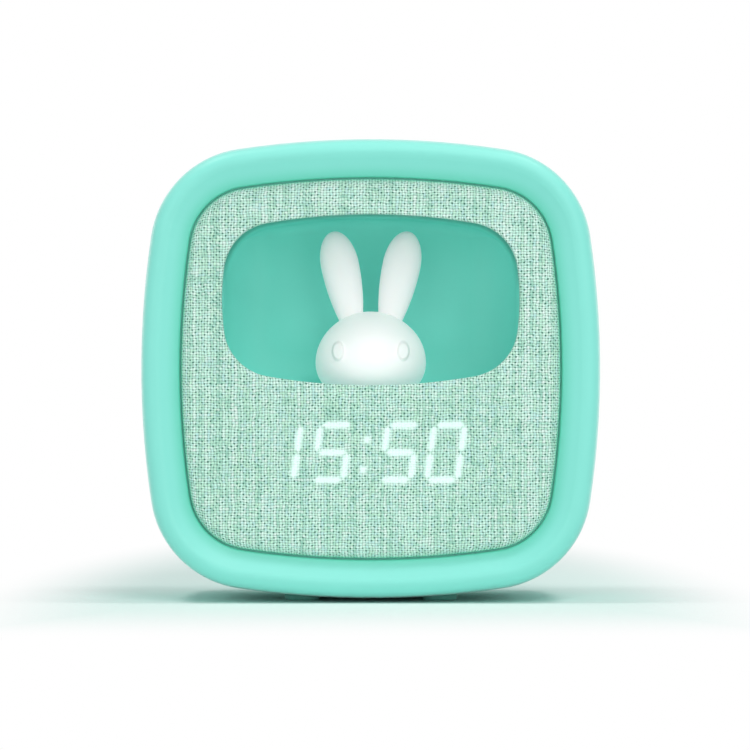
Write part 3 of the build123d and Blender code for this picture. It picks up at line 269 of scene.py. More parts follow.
def cellular_foam():
    material, tree, shader = new_finish("black_foam", Roughness=0.95)
    cells = place_node(tree, "ShaderNodeTexVoronoi", {"Vector": object_place(tree), "Scale": 2400.0})
    colour = blend_colours(tree, cells.outputs["Distance"], srgb(28, 28, 30), srgb(50, 50, 52))
    feed(tree, shader, Base_Color=colour, Normal=relief(tree, cells.outputs["Distance"], depth=0.1 * mm))
    return material


dress(crinkled_foil(), "battery_cell")
dress(cellular_foam(), "battery_pad", "speaker_gasket")
wire_sleeve = moulded_plastic("red_wire_sleeve", srgb(196, 40, 36), srgb(186, 34, 32), 0.4, grain=900.0)
dress(wire_sleeve, "battery_lead", "lamp_lead", "speaker_lead")


# ---- Circuit boards ----
# Green glass-fibre boards with a glossy solder mask over faint copper tracks. Chips, LEDs, switches and
# white nylon sockets are soldered on; steel screws hold the boards.
def solder_mask():
    material, tree, shader = new_finish("solder_mask", Roughness=0.28)
    bare, track = (0, 0, 0, 1), (1, 1, 1, 1)
    tracks = place_node(tree, "ShaderNodeTexBrick", {
        "Vector": object_place(tree), "Scale": 260.0, "Color1": bare, "Color2": bare, "Mortar": track,
        "Mortar Size": 0.06}).outputs["Color"]
    colour = blend_colours(tree, tracks, srgb(18, 92, 58), srgb(30, 124, 76))
    feed(tree, shader, Base_Color=colour, Normal=relief(tree, tracks, depth=0.03 * mm))
    return material


black_package = moulded_plastic("black_package", srgb(26, 26, 28), srgb(34, 34, 36), 0.5)
nylon = moulded_plastic("natural_nylon", srgb(236, 230, 212), srgb(228, 221, 200), 0.5)
led_resin = moulded_plastic("led_resin", srgb(248, 240, 196), srgb(240, 228, 170), 0.25, Coat_Weight=0.4)
dress(solder_mask(), "lamp_board", "display_board", "main_board")
dress(black_package, "board_chips", "key_switches", "slide_switch", "usb_tongue")
dress(nylon, "lamp_connector", "display_connector", "board_connectors", "display_ribbon")
dress(led_resin, "lamp_leds", "display_leds")


# ---- Display mask and lenses ----
# A black block with one light shaft for each bar, so that no bar lights its neighbour, and milky
# diffusers in the front end of the shafts.
mask_black = moulded_plastic("mask_black", srgb(20, 20, 21), srgb(27, 27, 28), 0.7)
lens_milk = moulded_plastic("lens_milk", srgb(240, 248, 245), srgb(232, 244, 240), 0.3,
                            Emission_Color=srgb(225, 250, 243), Emission_Strength=0.6)
dress(mask_black, "display_mask")
dress(lens_milk, "display_lenses")


# ---- Front panel ----
# The flat ABS carrier that the cloth is glued over. Its bosses are screwed to lugs inside the housing, and
# only they and its back are ever seen. The nut that holds the rabbit is of the same plastic.
panel_plastic = moulded_plastic("panel_plastic", srgb(122, 196, 184), srgb(116, 188, 176), 0.55)
dress(panel_plastic, "front_panel", "rabbit_nut")


# ---- Woven front ----
# One piece of plain-woven melange cloth, stretched over the panel, rolled over its rim into the crease
# of the lip and turned in round the window. The digits of the display shine through it.
cloth_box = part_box("fabric_cover")
cloth_front = cloth_box[0].y
cloth_back = cloth_box[1].y
cloth_thickness = 0.7 * mm
cloth_roll = 2.6 * mm
rim_flank = 1.2 * cloth_roll
window_roll = 0.5 * mm
body_side_bow = 233 * mm
body_corner = 27 * mm
cloth_inset = body_half - (cloth_box[1].x - cloth_box[0].x) / 2
cloth_half = body_half - cloth_inset
window_half_width = 38.45 * mm
window_half_height = 22.1 * mm
window_side_bow = 61.9 * mm
window_top_bow = 155.6 * mm
window_corner = 13.45 * mm
window_rise = 17.8 * mm
window_middle = body_middle + window_rise


def soft_square(half_width, half_height, side_bow, top_bow, corner, middle, steps=14):
    """Points and outward normals round four bowed sides and four round corners, all tangent."""
    side, top = Vector((half_width - side_bow, 0)), Vector((0, half_height - top_bow))
    side_reach, top_reach, apart = side_bow - corner, top_bow - corner, (top - side).length
    along = (side_reach ** 2 - top_reach ** 2 + apart ** 2) / (2 * apart)
    aside = math.sqrt(side_reach ** 2 - along ** 2)
    ahead = (top - side).normalized()
    centre = side + ahead * along + Vector((-ahead.y, ahead.x)) * aside
    low = math.atan2(*(centre - side).yx)
    high = math.atan2(*(centre - top).yx)
    quarter = []
    for middle_point, radius, start, end in ((side, side_bow, 0, low), (centre, corner, low, high),
                                             (top, top_bow, high, math.pi / 2)):
        for step in range(steps):
            turn = start + (end - start) * step / steps
            normal = Vector((math.cos(turn), math.sin(turn)))
            quarter.append((middle_point + normal * radius, normal))
    peak = (Vector((0, half_height)), Vector((0, 1)))
    mirrored = [(Vector((-p.x, p.y)), Vector((-n.x, n.y))) for p, n in reversed(quarter[1:])]
    upper = quarter + [peak] + mirrored
    lower = [(Vector((-p.x, -p.y)), Vector((-n.x, -n.y))) for p, n in upper]
    return [(Vector((p.x, p.y + middle)), n) for p, n in upper + lower]


def close_rings(name, rings, material):
    """A mesh of quads through closed rings of (x, y, z) points, the last joined back to the first."""
    count = len(rings[0])
    points = [point for ring in rings for point in ring]
    faces = []
    for ring in range(len(rings)):
        after = (ring + 1) % len(rings)
        for index in range(count):
            beside = (index + 1) % count
            faces.append((ring * count + index, ring * count + beside, after * count + beside,
                          after * count + index))
    mesh = bpy.data.meshes.new(name)
    mesh.from_pydata(points, [], faces)
    mesh.update()
    mesh.materials.append(material)
    piece = bpy.data.objects.new(name, mesh)
    bpy.context.scene.collection.objects.link(piece)
    for polygon in mesh.polygons:
        polygon.use_smooth = True
    return piece


def quarter_turn(radius, steps):
    """How far a rolled edge has come in and back, from its flank to its front."""
    turns = [math.pi / 2 * step / steps for step in range(steps + 1)]
    return [(radius * (1 - math.cos(turn)), radius * (1 - math.sin(turn))) for turn in turns]


warp_pitch = 0.770 * mm
weft_pitch = 0.695 * mm
wander_scale = 240.0
thread_wander = 1.3  # in threads, as are the lengths below
thread_edge = (0.07, 0.42)  # from a thread's middle, where its dark edge begins and ends
warp_stretch, warp_steadiness, warp_seed = 80.0, 0.62, 3.7
weft_stretch, weft_steadiness, weft_seed = 16.0, 0.45, 41.3
slub_length = 2.5
slub_salt = 17.0
stretch_stagger = 0.37
crossing_dip = 0.45
gap_seed = 7.3
melange_share = 0.9
plain_tint = srgb(204, 248, 232)
# Painted shade seen in the gaps between the threads:
gap_shadow_colour = srgb(58, 124, 106)
melange_shades = ((0.0, (150, 206, 188)), (0.26, (186, 232, 212)), (0.4, (210, 248, 224)),
                  (0.5, (200, 238, 236)), (0.58, (214, 254, 238)), (0.7, (226, 254, 242)),
                  (1.0, (244, 255, 251)))


def thread_set(tree, along, pitch, shift):
    """Parallel threads: count, number, bulge, dark edge and the number of the nearest gap."""
    count = scale_and_add(tree, shift, thread_wander, reckon(tree, "DIVIDE", along, pitch))
    across = reckon(tree, "SUBTRACT", reckon(tree, "FRACT", count), 0.5)
    bulge = reckon(tree, "COSINE", reckon(tree, "MULTIPLY", across, math.pi))
    edge = soft_step(tree, reckon(tree, "ABSOLUTE", across), *thread_edge)
    return count, reckon(tree, "FLOOR", count), bulge, edge, reckon(tree, "ROUND", count)


def shade_ramp(tree, chance, shades):
    ramp = place_node(tree, "ShaderNodeValToRGB", {0: chance})
    elements = ramp.color_ramp.elements
    for spare in list(elements)[1:]:
        elements.remove(spare)
    elements[0].position = shades[0][0]
    elements[0].color = srgb(*shades[0][1])
    for position, shade in shades[1:]:
        elements.new(position).color = srgb(*shade)
    return ramp.outputs["Color"]


def thread_tint(tree, index, run, stretch_length, steadiness, seed, melange):
    """A thread's tint: steady over a long stretch of its run, mixed with that of a short slub."""
    chances = []
    for stride, salt in ((stretch_length, 0.0), (slub_length, slub_salt)):
        staggered = reckon(tree, "ADD", reckon(tree, "DIVIDE", run, stride),
                           reckon(tree, "MULTIPLY", index, stretch_stagger))
        key = join_axes(tree, index, reckon(tree, "FLOOR", staggered), seed + salt)
        chances.append(place_node(tree, "ShaderNodeTexWhiteNoise", {0: key}).outputs["Value"])
    slub = reckon(tree, "MULTIPLY", chances[1], 1.0 - steadiness)
    chance = scale_and_add(tree, chances[0], steadiness, slub)
    return blend_colours(tree, melange, plain_tint, shade_ramp(tree, chance, melange_shades))


def plain_weave_group():
    """Over-and-under threads, each with its own tint and with painted shading across its bulge, and painted
    shade in a dark gap at every other crossing corner.
    """
    tree, given = new_group(
        "plain_weave",
        {"Place": "Vector", "Warp Pitch": "Float", "Weft Pitch": "Float", "Melange": "Float"},
        {"Colour": "Color", "Height": "Float"})
    wander = place_node(tree, "ShaderNodeTexNoise", {"Vector": given["Place"], "Scale": wander_scale,
                                                     "Detail": 2.0, "Roughness": 0.7})
    spread = axes_of(tree, given["Place"])
    drift = place_node(tree, "ShaderNodeSeparateColor", {0: wander.outputs["Color"]}).outputs
    warp_count, warp, warp_bulge, warp_edge, warp_corner = thread_set(
        tree, spread["X"], given["Warp Pitch"], drift[0])
    weft_count, weft, weft_bulge, weft_edge, weft_corner = thread_set(
        tree, spread["Z"], given["Weft Pitch"], drift[1])
    warp_tint = thread_tint(tree, warp, weft_count, warp_stretch, warp_steadiness, warp_seed,
                            given["Melange"])
    weft_tint = thread_tint(tree, weft, warp_count, weft_stretch, weft_steadiness, weft_seed,
                            given["Melange"])

    def dipped(bulge):
        return scale_and_add(tree, bulge, crossing_dip, 1.0 - crossing_dip)

    over = reckon(tree, "FLOORED_MODULO", reckon(tree, "ADD", warp, weft), 2.0)
    warp_top = reckon(tree, "MULTIPLY", warp_bulge, dipped(weft_bulge))
    weft_top = reckon(tree, "MULTIPLY", weft_bulge, dipped(warp_bulge))
    height = place_node(tree, "ShaderNodeMix", {0: over, 2: warp_top, 3: weft_top},
                        data_type="FLOAT").outputs[0]
    weft_share = scale_and_add(tree, over, factor=0.55, extra=0.12)
    thread = blend_colours(tree, weft_share, warp_tint, weft_tint)
    # Painted shade in the gaps, at every other crossing corner.
    deep = reckon(tree, "FLOORED_MODULO", reckon(tree, "ADD", warp_corner, weft_corner), 2.0)
    crossing = join_axes(tree, warp_corner, weft_corner, gap_seed)
    open_share = place_node(tree, "ShaderNodeTexWhiteNoise", {0: crossing}).outputs["Value"]
    hole = reckon(tree, "MULTIPLY", scale_and_add(tree, deep, factor=0.7, extra=0.3),
                  scale_and_add(tree, open_share, factor=1.0, extra=0.3))
    between = reckon(tree, "MULTIPLY", reckon(tree, "MULTIPLY", warp_edge, weft_edge), hole)
    gap = reckon(tree, "MINIMUM", between, 1.0)
    # Painted shading: each thread lighter on its crown and darker towards its edges.
    shade = scale_and_add(tree, height, factor=0.42, extra=0.68)
    bulge_shade_grey = place_node(tree, "ShaderNodeCombineColor", {0: shade, 1: shade, 2: shade}).outputs[0]
    lit = blend_colours(tree, 1.0, thread, bulge_shade_grey, mode="MULTIPLY")
    colour = blend_colours(tree, gap, lit, gap_shadow_colour)
    hand_out(tree, Colour=colour, Height=reckon(tree, "SUBTRACT", height, gap))
    return tree


def lit_bar_group():
    """Light of one bar, soft at its edges: 1 inside it, 0 outside; Point 1 brings its ends to a tip."""
    tree, given = new_group(
        "lit_bar",
        {"Along": "Float", "Aside": "Float", "Half Length": "Float", "Half Thickness": "Float",
         "Blur": "Float", "Point": "Float"},
        {"Light": "Float"})
    along = reckon(tree, "ABSOLUTE", given["Along"])
    aside = reckon(tree, "ABSOLUTE", given["Aside"])
    flank = reckon(tree, "SUBTRACT", aside, given["Half Thickness"])
    slope = scale_and_add(tree, aside, given["Point"], along)
    point = reckon(tree, "SUBTRACT", slope, given["Half Length"])
    outside = reckon(tree, "MAXIMUM", flank, point)
    inner_edge = reckon(tree, "MULTIPLY", given["Blur"], -1.0)
    hand_out(tree, Light=soft_step(tree, outside, inner_edge, given["Blur"], before=1.0, after=0.0))
    return tree


# Millimetres, but for the shifts of the top and the middle bar, which are shares of half a digit's width.
digit_height = 15.9
digit_width = 7.8
digit_pitch = 12.0
colon_pitch = 17.4
colon_spread = 3.85
flat_thickness = 1.8
upright_thickness = 1.75
colon_thickness = 1.7
colon_drop = 0.6
first_digit_shift = -0.85
top_bar_shift = 0.06
middle_bar_shift = 0.05
bar_gap = 0.3
bar_blur = 0.7
digit_slant = math.radians(8.2)
bars_of = {"0": "abcdef", "1": "bc", "5": "acdfg"}
shown_time = ("1", "5", "5", "0")


def bar_places():
    """Middle, direction, half length, half thickness and tip of every lit bar and colon dot."""
    rise = (digit_height - flat_thickness) / 2
    upright_size = (rise / 2 - bar_gap, upright_thickness / 2)
    flat_size = (digit_width / 2 - bar_gap, flat_thickness / 2)
    bars = {"a": (top_bar_shift, rise, False), "g": (middle_bar_shift, 0, False), "d": (0, -rise, False),
            "b": (1, rise / 2, True), "c": (1, -rise / 2, True),
            "f": (-1, rise / 2, True), "e": (-1, -rise / 2, True)}
    digit_middles = (-colon_pitch / 2 - digit_pitch, -colon_pitch / 2,
                     colon_pitch / 2, colon_pitch / 2 + digit_pitch)
    places = []
    for order, (digit, digit_middle) in enumerate(zip(shown_time, digit_middles)):
        shift = digit_middle + (first_digit_shift if order == 0 else 0)
        for bar in bars_of[digit]:
            side, level, upright = bars[bar]
            size = upright_size if upright else flat_size
            places.append((shift + side * digit_width / 2, level, upright, *size, 1.0))
    for level in (-colon_spread, colon_spread):
        places.append((0, level - colon_drop, True, colon_thickness / 2, colon_thickness / 2, 0.0))
    return places


def lit_digits(tree, place):
    """How brightly the display shows through at a place on the cloth."""
    middle = (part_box("display_lenses")[0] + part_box("display_lenses")[1]) / 2
    spread = axes_of(tree, place)
    up = reckon(tree, "DIVIDE", reckon(tree, "SUBTRACT", spread["Z"], middle.z), mm)
    leaning = reckon(tree, "DIVIDE", reckon(tree, "SUBTRACT", spread["X"], middle.x), mm)
    across = scale_and_add(tree, up, -math.tan(digit_slant), leaning)
    lit_bar = lit_bar_group()
    light = None
    for x, z, upright, half_length, half_thickness, point in bar_places():
        from_x = reckon(tree, "SUBTRACT", across, x)
        from_z = reckon(tree, "SUBTRACT", up, z)
        along, aside = (from_z, from_x) if upright else (from_x, from_z)
        bar = use_group(tree, lit_bar, Along=along, Aside=aside, Half_Length=half_length,
                        Half_Thickness=half_thickness, Blur=bar_blur, Point=point)["Light"]
        light = bar if light is None else reckon(tree, "MAXIMUM", light, bar)
    return light


window_reach = 1.04  # in half widths of the window
turned_share = 0.9  # how much of its depth a turned edge gains sideways when laid flat
# Where the painted crease shade on the cloth begins and ends, and its deep green tint:
crease_sunk = (0.8 * mm, 2.6 * mm)  # behind the cloth's face
crease_shade_tint = srgb(64, 238, 198)
digit_light = srgb(232, 254, 249)
digit_dimming = 0.8
weave_depth = 0.12 * mm


def leaning_share(tree, share):
    """The cube of a share of the half width, with its sign: which way a turned edge was folded."""
    cube = reckon(tree, "POWER", reckon(tree, "ABSOLUTE", share), 3.0)
    return reckon(tree, "MULTIPLY", cube, reckon(tree, "SIGN", share))


def wrapped_place(tree, place):
    """Where a point of a turned edge lay while the cloth was flat, and 1 away from the window."""
    spread = axes_of(tree, place)
    back = reckon(tree, "MAXIMUM", reckon(tree, "SUBTRACT", spread["Y"], cloth_front), 0.0)
    edges = {"X": (0.0, 0.0, window_half_width),
             "Z": (body_middle, window_middle, window_half_height)}
    to_rim, to_hole = {}, {}
    for axis, (rim_middle, hole_middle, hole_reach) in edges.items():
        from_rim = reckon(tree, "SUBTRACT", spread[axis], rim_middle)
        from_hole = reckon(tree, "SUBTRACT", spread[axis], hole_middle)
        to_rim[axis] = reckon(tree, "DIVIDE", from_rim, cloth_half)
        to_hole[axis] = reckon(tree, "DIVIDE", from_hole, hole_reach)
    farther = reckon(tree, "MAXIMUM", *[reckon(tree, "ABSOLUTE", share) for share in to_hole.values()])
    at_window = reckon(tree, "LESS_THAN", farther, window_reach)
    at_rim = reckon(tree, "SUBTRACT", 1.0, at_window)
    moved = []
    for axis in edges:
        outward = leaning_share(tree, to_rim[axis])
        inward = leaning_share(tree, to_hole[axis])
        drawn = reckon(tree, "SUBTRACT", reckon(tree, "MULTIPLY", outward, at_rim),
                       reckon(tree, "MULTIPLY", inward, at_window))
        turned = reckon(tree, "MULTIPLY", back, turned_share)
        moved.append(scale_and_add(tree, turned, drawn, spread[axis]))
    return join_axes(tree, moved[0], spread["Y"], moved[1]), at_rim


def woven_cloth():
    material, tree, shader = new_finish("woven_melange", Roughness=0.88, Specular_IOR_Level=0.2,
                                        Sheen_Weight=0.15, Emission_Strength=1.0)
    place = object_place(tree)
    flat_place, at_rim = wrapped_place(tree, place)
    weave = use_group(tree, plain_weave_group(), Place=flat_place, Warp_Pitch=warp_pitch,
                      Weft_Pitch=weft_pitch, Melange=melange_share)
    # Painted shade and green bounce light where the cloth rolls back into the crease of the lip.
    crease_shade_share = soft_step(tree, axes_of(tree, place)["Y"], cloth_front + crease_sunk[0],
                     cloth_front + crease_sunk[1])
    colour = blend_colours(tree, reckon(tree, "MULTIPLY", crease_shade_share, at_rim), weave["Colour"], crease_shade_tint)
    through = blend_colours(tree, digit_dimming, digit_light, colour, mode="SUBTRACT")
    glow = blend_colours(tree, lit_digits(tree, place), (0, 0, 0, 1), through)
    feed(tree, shader, Base_Color=colour, Emission_Color=glow,
         Normal=relief(tree, weave["Height"], weave_depth))
    return material


rim_steps = 8
window_steps = 4
face_steps = 16
back_steps = 4


def stretched_cloth():
    """Rings from the back of the rim over the face to the window, and back again on the underside."""
    outer = soft_square(cloth_half, cloth_half, body_side_bow - cloth_inset, body_side_bow - cloth_inset,
                        body_corner - cloth_inset, body_middle)
    inner = soft_square(window_half_width, window_half_height, window_side_bow, window_top_bow,
                        window_corner, window_middle)

    def ring(rim, inset, y):
        return [(point.x - normal.x * inset, y, point.y - normal.y * inset) for point, normal in rim]

    def between(share, inset_out, inset_in, y):
        return [tuple(a + (b - a) * share for a, b in zip(start, end))
                for start, end in zip(ring(outer, inset_out, y), ring(inner, -inset_in, y))]

    rings = [ring(outer, 0, cloth_back), ring(outer, 0, cloth_front + rim_flank)]
    rings += [ring(outer, aside, cloth_front + back) for aside, back in quarter_turn(cloth_roll, rim_steps)]
    rings += [between(step / face_steps, cloth_roll, window_roll, cloth_front)
              for step in range(1, face_steps)]
    rings += [ring(inner, -aside, cloth_front + back)
              for aside, back in reversed(quarter_turn(window_roll, window_steps))]
    rings += [ring(inner, 0, cloth_back), ring(inner, -cloth_thickness, cloth_back)]
    under = cloth_front + cloth_thickness
    rings += [ring(inner, -cloth_thickness, under)]
    rings += [between(1 - step / back_steps, cloth_roll, cloth_thickness, under)
              for step in range(1, back_steps)]
    rings += [ring(outer, cloth_thickness + aside, under + back)
              for aside, back in reversed(quarter_turn(cloth_roll - cloth_thickness, back_steps))]
    rings += [ring(outer, cloth_thickness, cloth_back)]
    return close_rings("woven_front", rings, woven_cloth())


woven_front = stretched_cloth()
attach(woven_front, "root")
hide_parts("fabric_cover")


# ---- Niche ----
# The coved hollow behind the window, moulded in the same mint ABS and screwed to the back of the panel.
# The rabbit's neck passes through its floor.
niche_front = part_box("niche_shell")[0].y
# Where the painted shade on the niche ceiling begins and ends:
ceiling_start = 4 * mm
ceiling_end = 26 * mm
ceiling_rise = 14 * mm
ceiling_shade = srgb(84, 172, 155)


def paint_ceiling_shade(tree, place, colour):
    """Painted shade: deeper mint on the ceiling just behind the window."""
    spread = axes_of(tree, place)
    behind = soft_step(tree, spread["Y"], niche_front + ceiling_start, niche_front + ceiling_end,
                       before=1.0, after=0.0)
    upper = soft_step(tree, spread["Z"], window_middle, window_middle + ceiling_rise)
    return blend_colours(tree, reckon(tree, "MULTIPLY", behind, upper), colour, ceiling_shade)


# A lighter mint than the shell's, as painted light that lifts the shaded hollow, with painted shade on its
# ceiling.
lightened_niche_plastic = moulded_plastic("lightened_niche_plastic", srgb(144, 241, 228), srgb(139, 236, 223), 0.5,
                                painted_shade=paint_ceiling_shade, Specular_IOR_Level=0.3)
dress(lightened_niche_plastic, "niche_shell")


# ---- Rabbit lamp ----
# A hollow head in milky, soft-touch plastic with two plugged-in ears. The lamp inside lights it
# faintly, strongest in the middle of the forehead.
head_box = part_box("rabbit_head")
head_middle = (head_box[0] + head_box[1]) / 2
eye_width = 3.1 * mm
eye_height = 5.0 * mm
eye_spread = 8.5 * mm
eye_level = head_box[1].z - 10.4 * mm
eye_edge = (0.72, 1.12)
eye_relief = 0.5 * mm
# Painted shade round the rims of the eyes:
eye_rim_shade = srgb(206, 226, 221)
eye_rim_share = 0.24
lamp_level = head_box[1].z - 11.0 * mm
head_foot = window_middle - window_half_height
# Painted reflection of the mint niche floor, low on the head and ears:
niche_bounce_fade = 11.0 * mm
niche_bounce_tint = srgb(236, 255, 252)
milk_roughness = 0.48
milk_grain = 2200.0
milk_grain_depth = 0.01 * mm


def lamp_glow_group():
    """Light of the lamp through the shell: 1 next to the lamp's own place, fading to 0 at Reach."""
    tree, given = new_group("lamp_glow", {"Place": "Vector", "Lamp": "Vector", "Reach": "Float"},
                            {"Light": "Float"})
    away = reckon_vector(tree, "DISTANCE", given["Place"], given["Lamp"])
    hand_out(tree, Light=soft_step(tree, away, 0.0, given["Reach"], before=1.0, after=0.0))
    return tree


def raised_oval_group():
    """A raised oval eye seen from the front, mirrored in the middle plane: its height and its soft rim,
    which takes painted shade.
    """
    tree, given = new_group(
        "raised_oval",
        {"Place": "Vector", "Spread": "Float", "Level": "Float", "Half Width": "Float",
         "Half Height": "Float"},
        {"Height": "Float", "Rim": "Float"})
    spread = axes_of(tree, given["Place"])
    from_eye = reckon(tree, "SUBTRACT", reckon(tree, "ABSOLUTE", spread["X"]), given["Spread"])
    aside = reckon(tree, "DIVIDE", from_eye, given["Half Width"])
    up = reckon(tree, "DIVIDE", reckon(tree, "SUBTRACT", spread["Z"], given["Level"]),
                given["Half Height"])
    round_out = reckon_vector(tree, "LENGTH", join_axes(tree, aside, up))
    height = soft_step(tree, round_out, *eye_edge, before=1.0, after=0.0)
    slope = reckon(tree, "MULTIPLY", height, reckon(tree, "SUBTRACT", 1.0, height))
    hand_out(tree, Height=height, Rim=reckon(tree, "MULTIPLY", slope, 4.0))
    return tree


def milky_plastic(name, milk, milk_flow, glow_colour, glow_reach, glow_strength, with_eyes):
    material, tree, shader = new_finish(name, Subsurface_Weight=0.1, Subsurface_Scale=1.5 * mm,
                                        Specular_IOR_Level=0.3, Emission_Strength=glow_strength)
    place = object_place(tree)
    skin = use_group(tree, moulded_skin, Place=place, Colour=milk, Flow_Colour=milk_flow, Grain=milk_grain,
                     Roughness=milk_roughness)
    glow = use_group(tree, lamp_glow, Place=place, Lamp=(head_middle.x, head_box[0].y, lamp_level),
                     Reach=glow_reach)
    # Painted reflection: the glow turns mintier low down, where the niche floor throws back light.
    high = soft_step(tree, axes_of(tree, place)["Z"], head_foot, head_foot + niche_bounce_fade)
    tint = blend_colours(tree, high, niche_bounce_tint, glow_colour)
    light = blend_colours(tree, glow["Light"], (0, 0, 0, 1), tint)
    colour, normal = skin["Colour"], relief(tree, skin["Height"], milk_grain_depth)
    if with_eyes:
        eye = use_group(tree, raised_oval_group(), Place=place, Spread=eye_spread, Level=eye_level,
                        Half_Width=eye_width / 2, Half_Height=eye_height / 2)
        # Painted shade round the rim of each raised eye.
        rim = reckon(tree, "MULTIPLY", eye["Rim"], eye_rim_share)
        colour = blend_colours(tree, rim, colour, eye_rim_shade)
        normal = place_node(tree, "ShaderNodeBump", {"Height": eye["Height"], "Distance": eye_relief,
                                                     "Normal": normal}).outputs["Normal"]
    feed(tree, shader, Base_Color=colour, Roughness=skin["Roughness"], Emission_Color=light,
         Normal=normal)
    return material


lamp_glow = lamp_glow_group()
head_milk = milky_plastic("milky_head", milk=srgb(229, 227, 227), milk_flow=srgb(226, 224, 224),
                          glow_colour=srgb(243, 255, 252), glow_reach=85.0 * mm, glow_strength=0.3,
                          with_eyes=True)
ear_milk = milky_plastic("milky_ears", milk=srgb(241, 238, 238), milk_flow=srgb(238, 235, 235),
                         glow_colour=srgb(248, 252, 255), glow_reach=120.0 * mm, glow_strength=0.175,
                         with_eyes=False)
dress(head_milk, "rabbit_head")
dress(ear_milk, "rabbit_ear_left", "rabbit_ear_right")


# ---- Loudspeaker ----
# A 28 mm loudspeaker: black pressed basket, pulp cone and a plated magnet, screwed into the collar
# inside the rear cover. The plated charging socket and all the screws have the same finish.
def pulp_paper():
    material, tree, shader = new_finish("pulp_cone", Roughness=0.9)
    fibres = noise(tree, object_place(tree), scale=900.0, detail=5.0)
    colour = blend_colours(tree, fibres, srgb(30, 30, 32), srgb(54, 54, 56))
    feed(tree, shader, Base_Color=colour, Normal=relief(tree, fibres, depth=0.05 * mm))
    return material


def plated_steel():
    material, tree, shader = new_finish("zinc_plate", Metallic=1.0)
    haze = noise(tree, object_place(tree), scale=420.0, detail=3.0)
    tint = blend_colours(tree, haze, srgb(196, 198, 202), srgb(178, 180, 184))
    dull = scale_and_add(tree, haze, factor=0.2, extra=0.22)
    feed(tree, shader, Base_Color=tint, Roughness=dull, Normal=relief(tree, haze, depth=0.02 * mm))
    return material


dress(pulp_paper(), "speaker_cone")
dress(moulded_plastic("basket_enamel", srgb(30, 31, 34), srgb(36, 37, 40), 0.4), "speaker_frame")
dress(plated_steel(), "speaker_magnet", "usb_socket", "rear_screws", "panel_screws", "niche_screws",
      "display_screws", "board_screws", "speaker_screws", "lamp_screws")


# ---- Rear cover ----
# The satin mint ABS cap that closes the back, held by four screws in deep wells: rolled edge, flat
# face, key tray, switch slot, charging socket and loudspeaker grille.
dress(moulded_plastic("satin_mint_plastic", mint, mint_flow, mint_roughness, **mint_gloss), "rear_cover")


# ---- Keys and alarm switch ----
# Silicone keys a shade deeper than the shell, which stand through the rear cover on their push switches,
# and the ribbed knob, whose stem sits in the trough of the alarm's slide switch.
key_silicone = moulded_plastic("key_silicone", srgb(96, 200, 184), srgb(90, 193, 177), 0.55,
                               grain=1700.0)
dress(key_silicone, "light_key", "minus_key", "set_key", "plus_key", "alarm_key", "alarm_switch_knob")


# ---- Studio ----
# A pale table top, faintly mint near the clock as painted bounce light off its mint shell, that turns white
# away from the clock, and an even white surround. Two broad lamps stand low at the front and one high at
# the front right, two weak ones light the sides from behind, and two small ones above throw the soft
# shadows. The camera stands level with the middle of the clock.
table_reach = 6.0
# Painted bounce light: the table's colour, faintly mint where it stays near the clock.
table_mint_bounce = srgb(228, 241, 238)
side_fade = (0.060, 0.108)  # metres beside the middle, where the table starts and ends turning white
front_fade = (-0.150, -0.040)  # metres along Y: white before the first, plain behind the second
lengthways = 0.25  # the side fade lies four times as far off along Y
surround_light = (0.447, 0.482, 0.476, 1)
lamp_tint = (1.0, 0.965, 0.97)
lamps = {
    "front_left_lamp": {"place": (-0.6, -1.15, 0.2), "diameter": 0.8, "watts": 2.1},
    "front_right_lamp": {"place": (0.6, -1.15, 0.2), "diameter": 0.8, "watts": 2.7},
    "high_lamp": {"place": (0.3, -0.9, 0.95), "diameter": 0.6, "watts": 3.3},
    "back_left_lamp": {"place": (-0.8, 0.95, 0.22), "diameter": 0.7, "watts": 0.7},
    "back_right_lamp": {"place": (0.8, 0.95, 0.22), "diameter": 0.7, "watts": 0.7},
    "top_left_lamp": {"place": (-0.4, -0.1, 1.0), "diameter": 0.24, "watts": 2.3},
    "top_right_lamp": {"place": (0.4, -0.1, 1.0), "diameter": 0.24, "watts": 2.2},
}
camera_distance = 0.950
picture_width = 750
focal_pixels = 3690.0
body_in_picture = (370.75, 368.64)


def background_rays(tree):
    """1 for the rays that find white round the clock: the camera's, the mirrored and the refracted."""
    rays = place_node(tree, "ShaderNodeLightPath").outputs
    seen = reckon(tree, "MAXIMUM", rays["Is Camera Ray"], rays["Is Transmission Ray"])
    return reckon(tree, "MAXIMUM", seen, rays["Is Glossy Ray"])


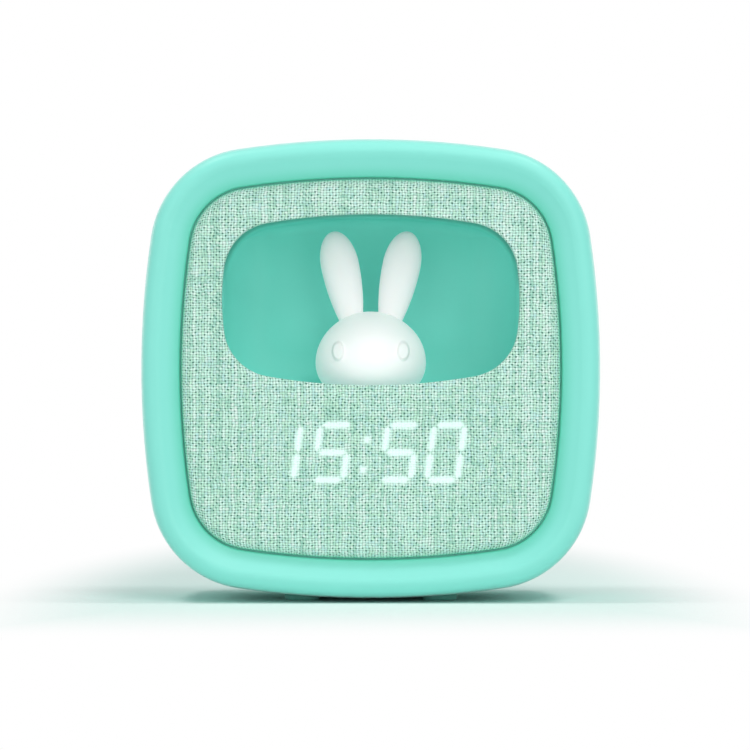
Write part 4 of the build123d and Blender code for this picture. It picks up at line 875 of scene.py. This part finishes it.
def white_table():
    corners = [(-table_reach, -table_reach, 0), (table_reach, -table_reach, 0),
               (table_reach, table_reach, 0), (-table_reach, table_reach, 0)]
    mesh = bpy.data.meshes.new("table")
    mesh.from_pydata(corners, [], [(0, 1, 2, 3)])
    material, tree, shader = new_finish("white_table", Roughness=0.9, Specular_IOR_Level=0.0,
                                        Emission_Color=(1, 1, 1, 1))
    place = object_place(tree)
    away = reckon_vector(tree, "LENGTH", reckon_vector(tree, "MULTIPLY", place, (1, lengthways, 1)))
    beside = soft_step(tree, away, *side_fade)
    before = soft_step(tree, axes_of(tree, place)["Y"], *front_fade, before=1.0, after=0.0)
    white = reckon(tree, "MULTIPLY", background_rays(tree), reckon(tree, "MAXIMUM", beside, before))
    feed(tree, shader, Base_Color=blend_colours(tree, white, table_mint_bounce, (0, 0, 0, 1)),
         Emission_Strength=white)
    mesh.materials.append(material)
    table = bpy.data.objects.new("table", mesh)
    bpy.context.scene.collection.objects.link(table)


def white_surround():
    world = bpy.data.worlds.new("surround")
    bpy.context.scene.world = world
    world.use_nodes = True
    tree = world.node_tree
    light = blend_colours(tree, background_rays(tree), surround_light, (1, 1, 1, 1))
    tree.links.new(light, tree.nodes["Background"].inputs["Color"])


def soft_lamp(name, place, diameter, watts):
    lamp = bpy.data.lights.new(name, "AREA")
    lamp.shape = "DISK"
    lamp.size = diameter
    lamp.energy = watts
    lamp.color = lamp_tint
    lit = bpy.data.objects.new(name, lamp)
    lit.location = place
    lit.rotation_mode = "QUATERNION"
    towards_body = Vector((0, 0, body_middle)) - lit.location
    lit.rotation_quaternion = towards_body.to_track_quat("-Z", "Y")
    bpy.context.scene.collection.objects.link(lit)


def level_camera():
    data = bpy.data.cameras.new("camera")
    data.sensor_width = 36.0
    data.lens = data.sensor_width * focal_pixels / picture_width
    data.shift_x = 0.5 - body_in_picture[0] / picture_width
    data.shift_y = body_in_picture[1] / picture_width - 0.5
    data.clip_start, data.clip_end = 0.05, 50.0
    camera = bpy.data.objects.new("camera", data)
    camera.location = (0, body_front - camera_distance, body_middle)
    camera.rotation_euler = (math.pi / 2, 0, 0)
    bpy.context.scene.collection.objects.link(camera)
    bpy.context.scene.camera = camera


white_table()
white_surround()
for name, settings in lamps.items():
    soft_lamp(name, **settings)
level_camera()
bpy.context.scene.view_settings.view_transform = "Standard"
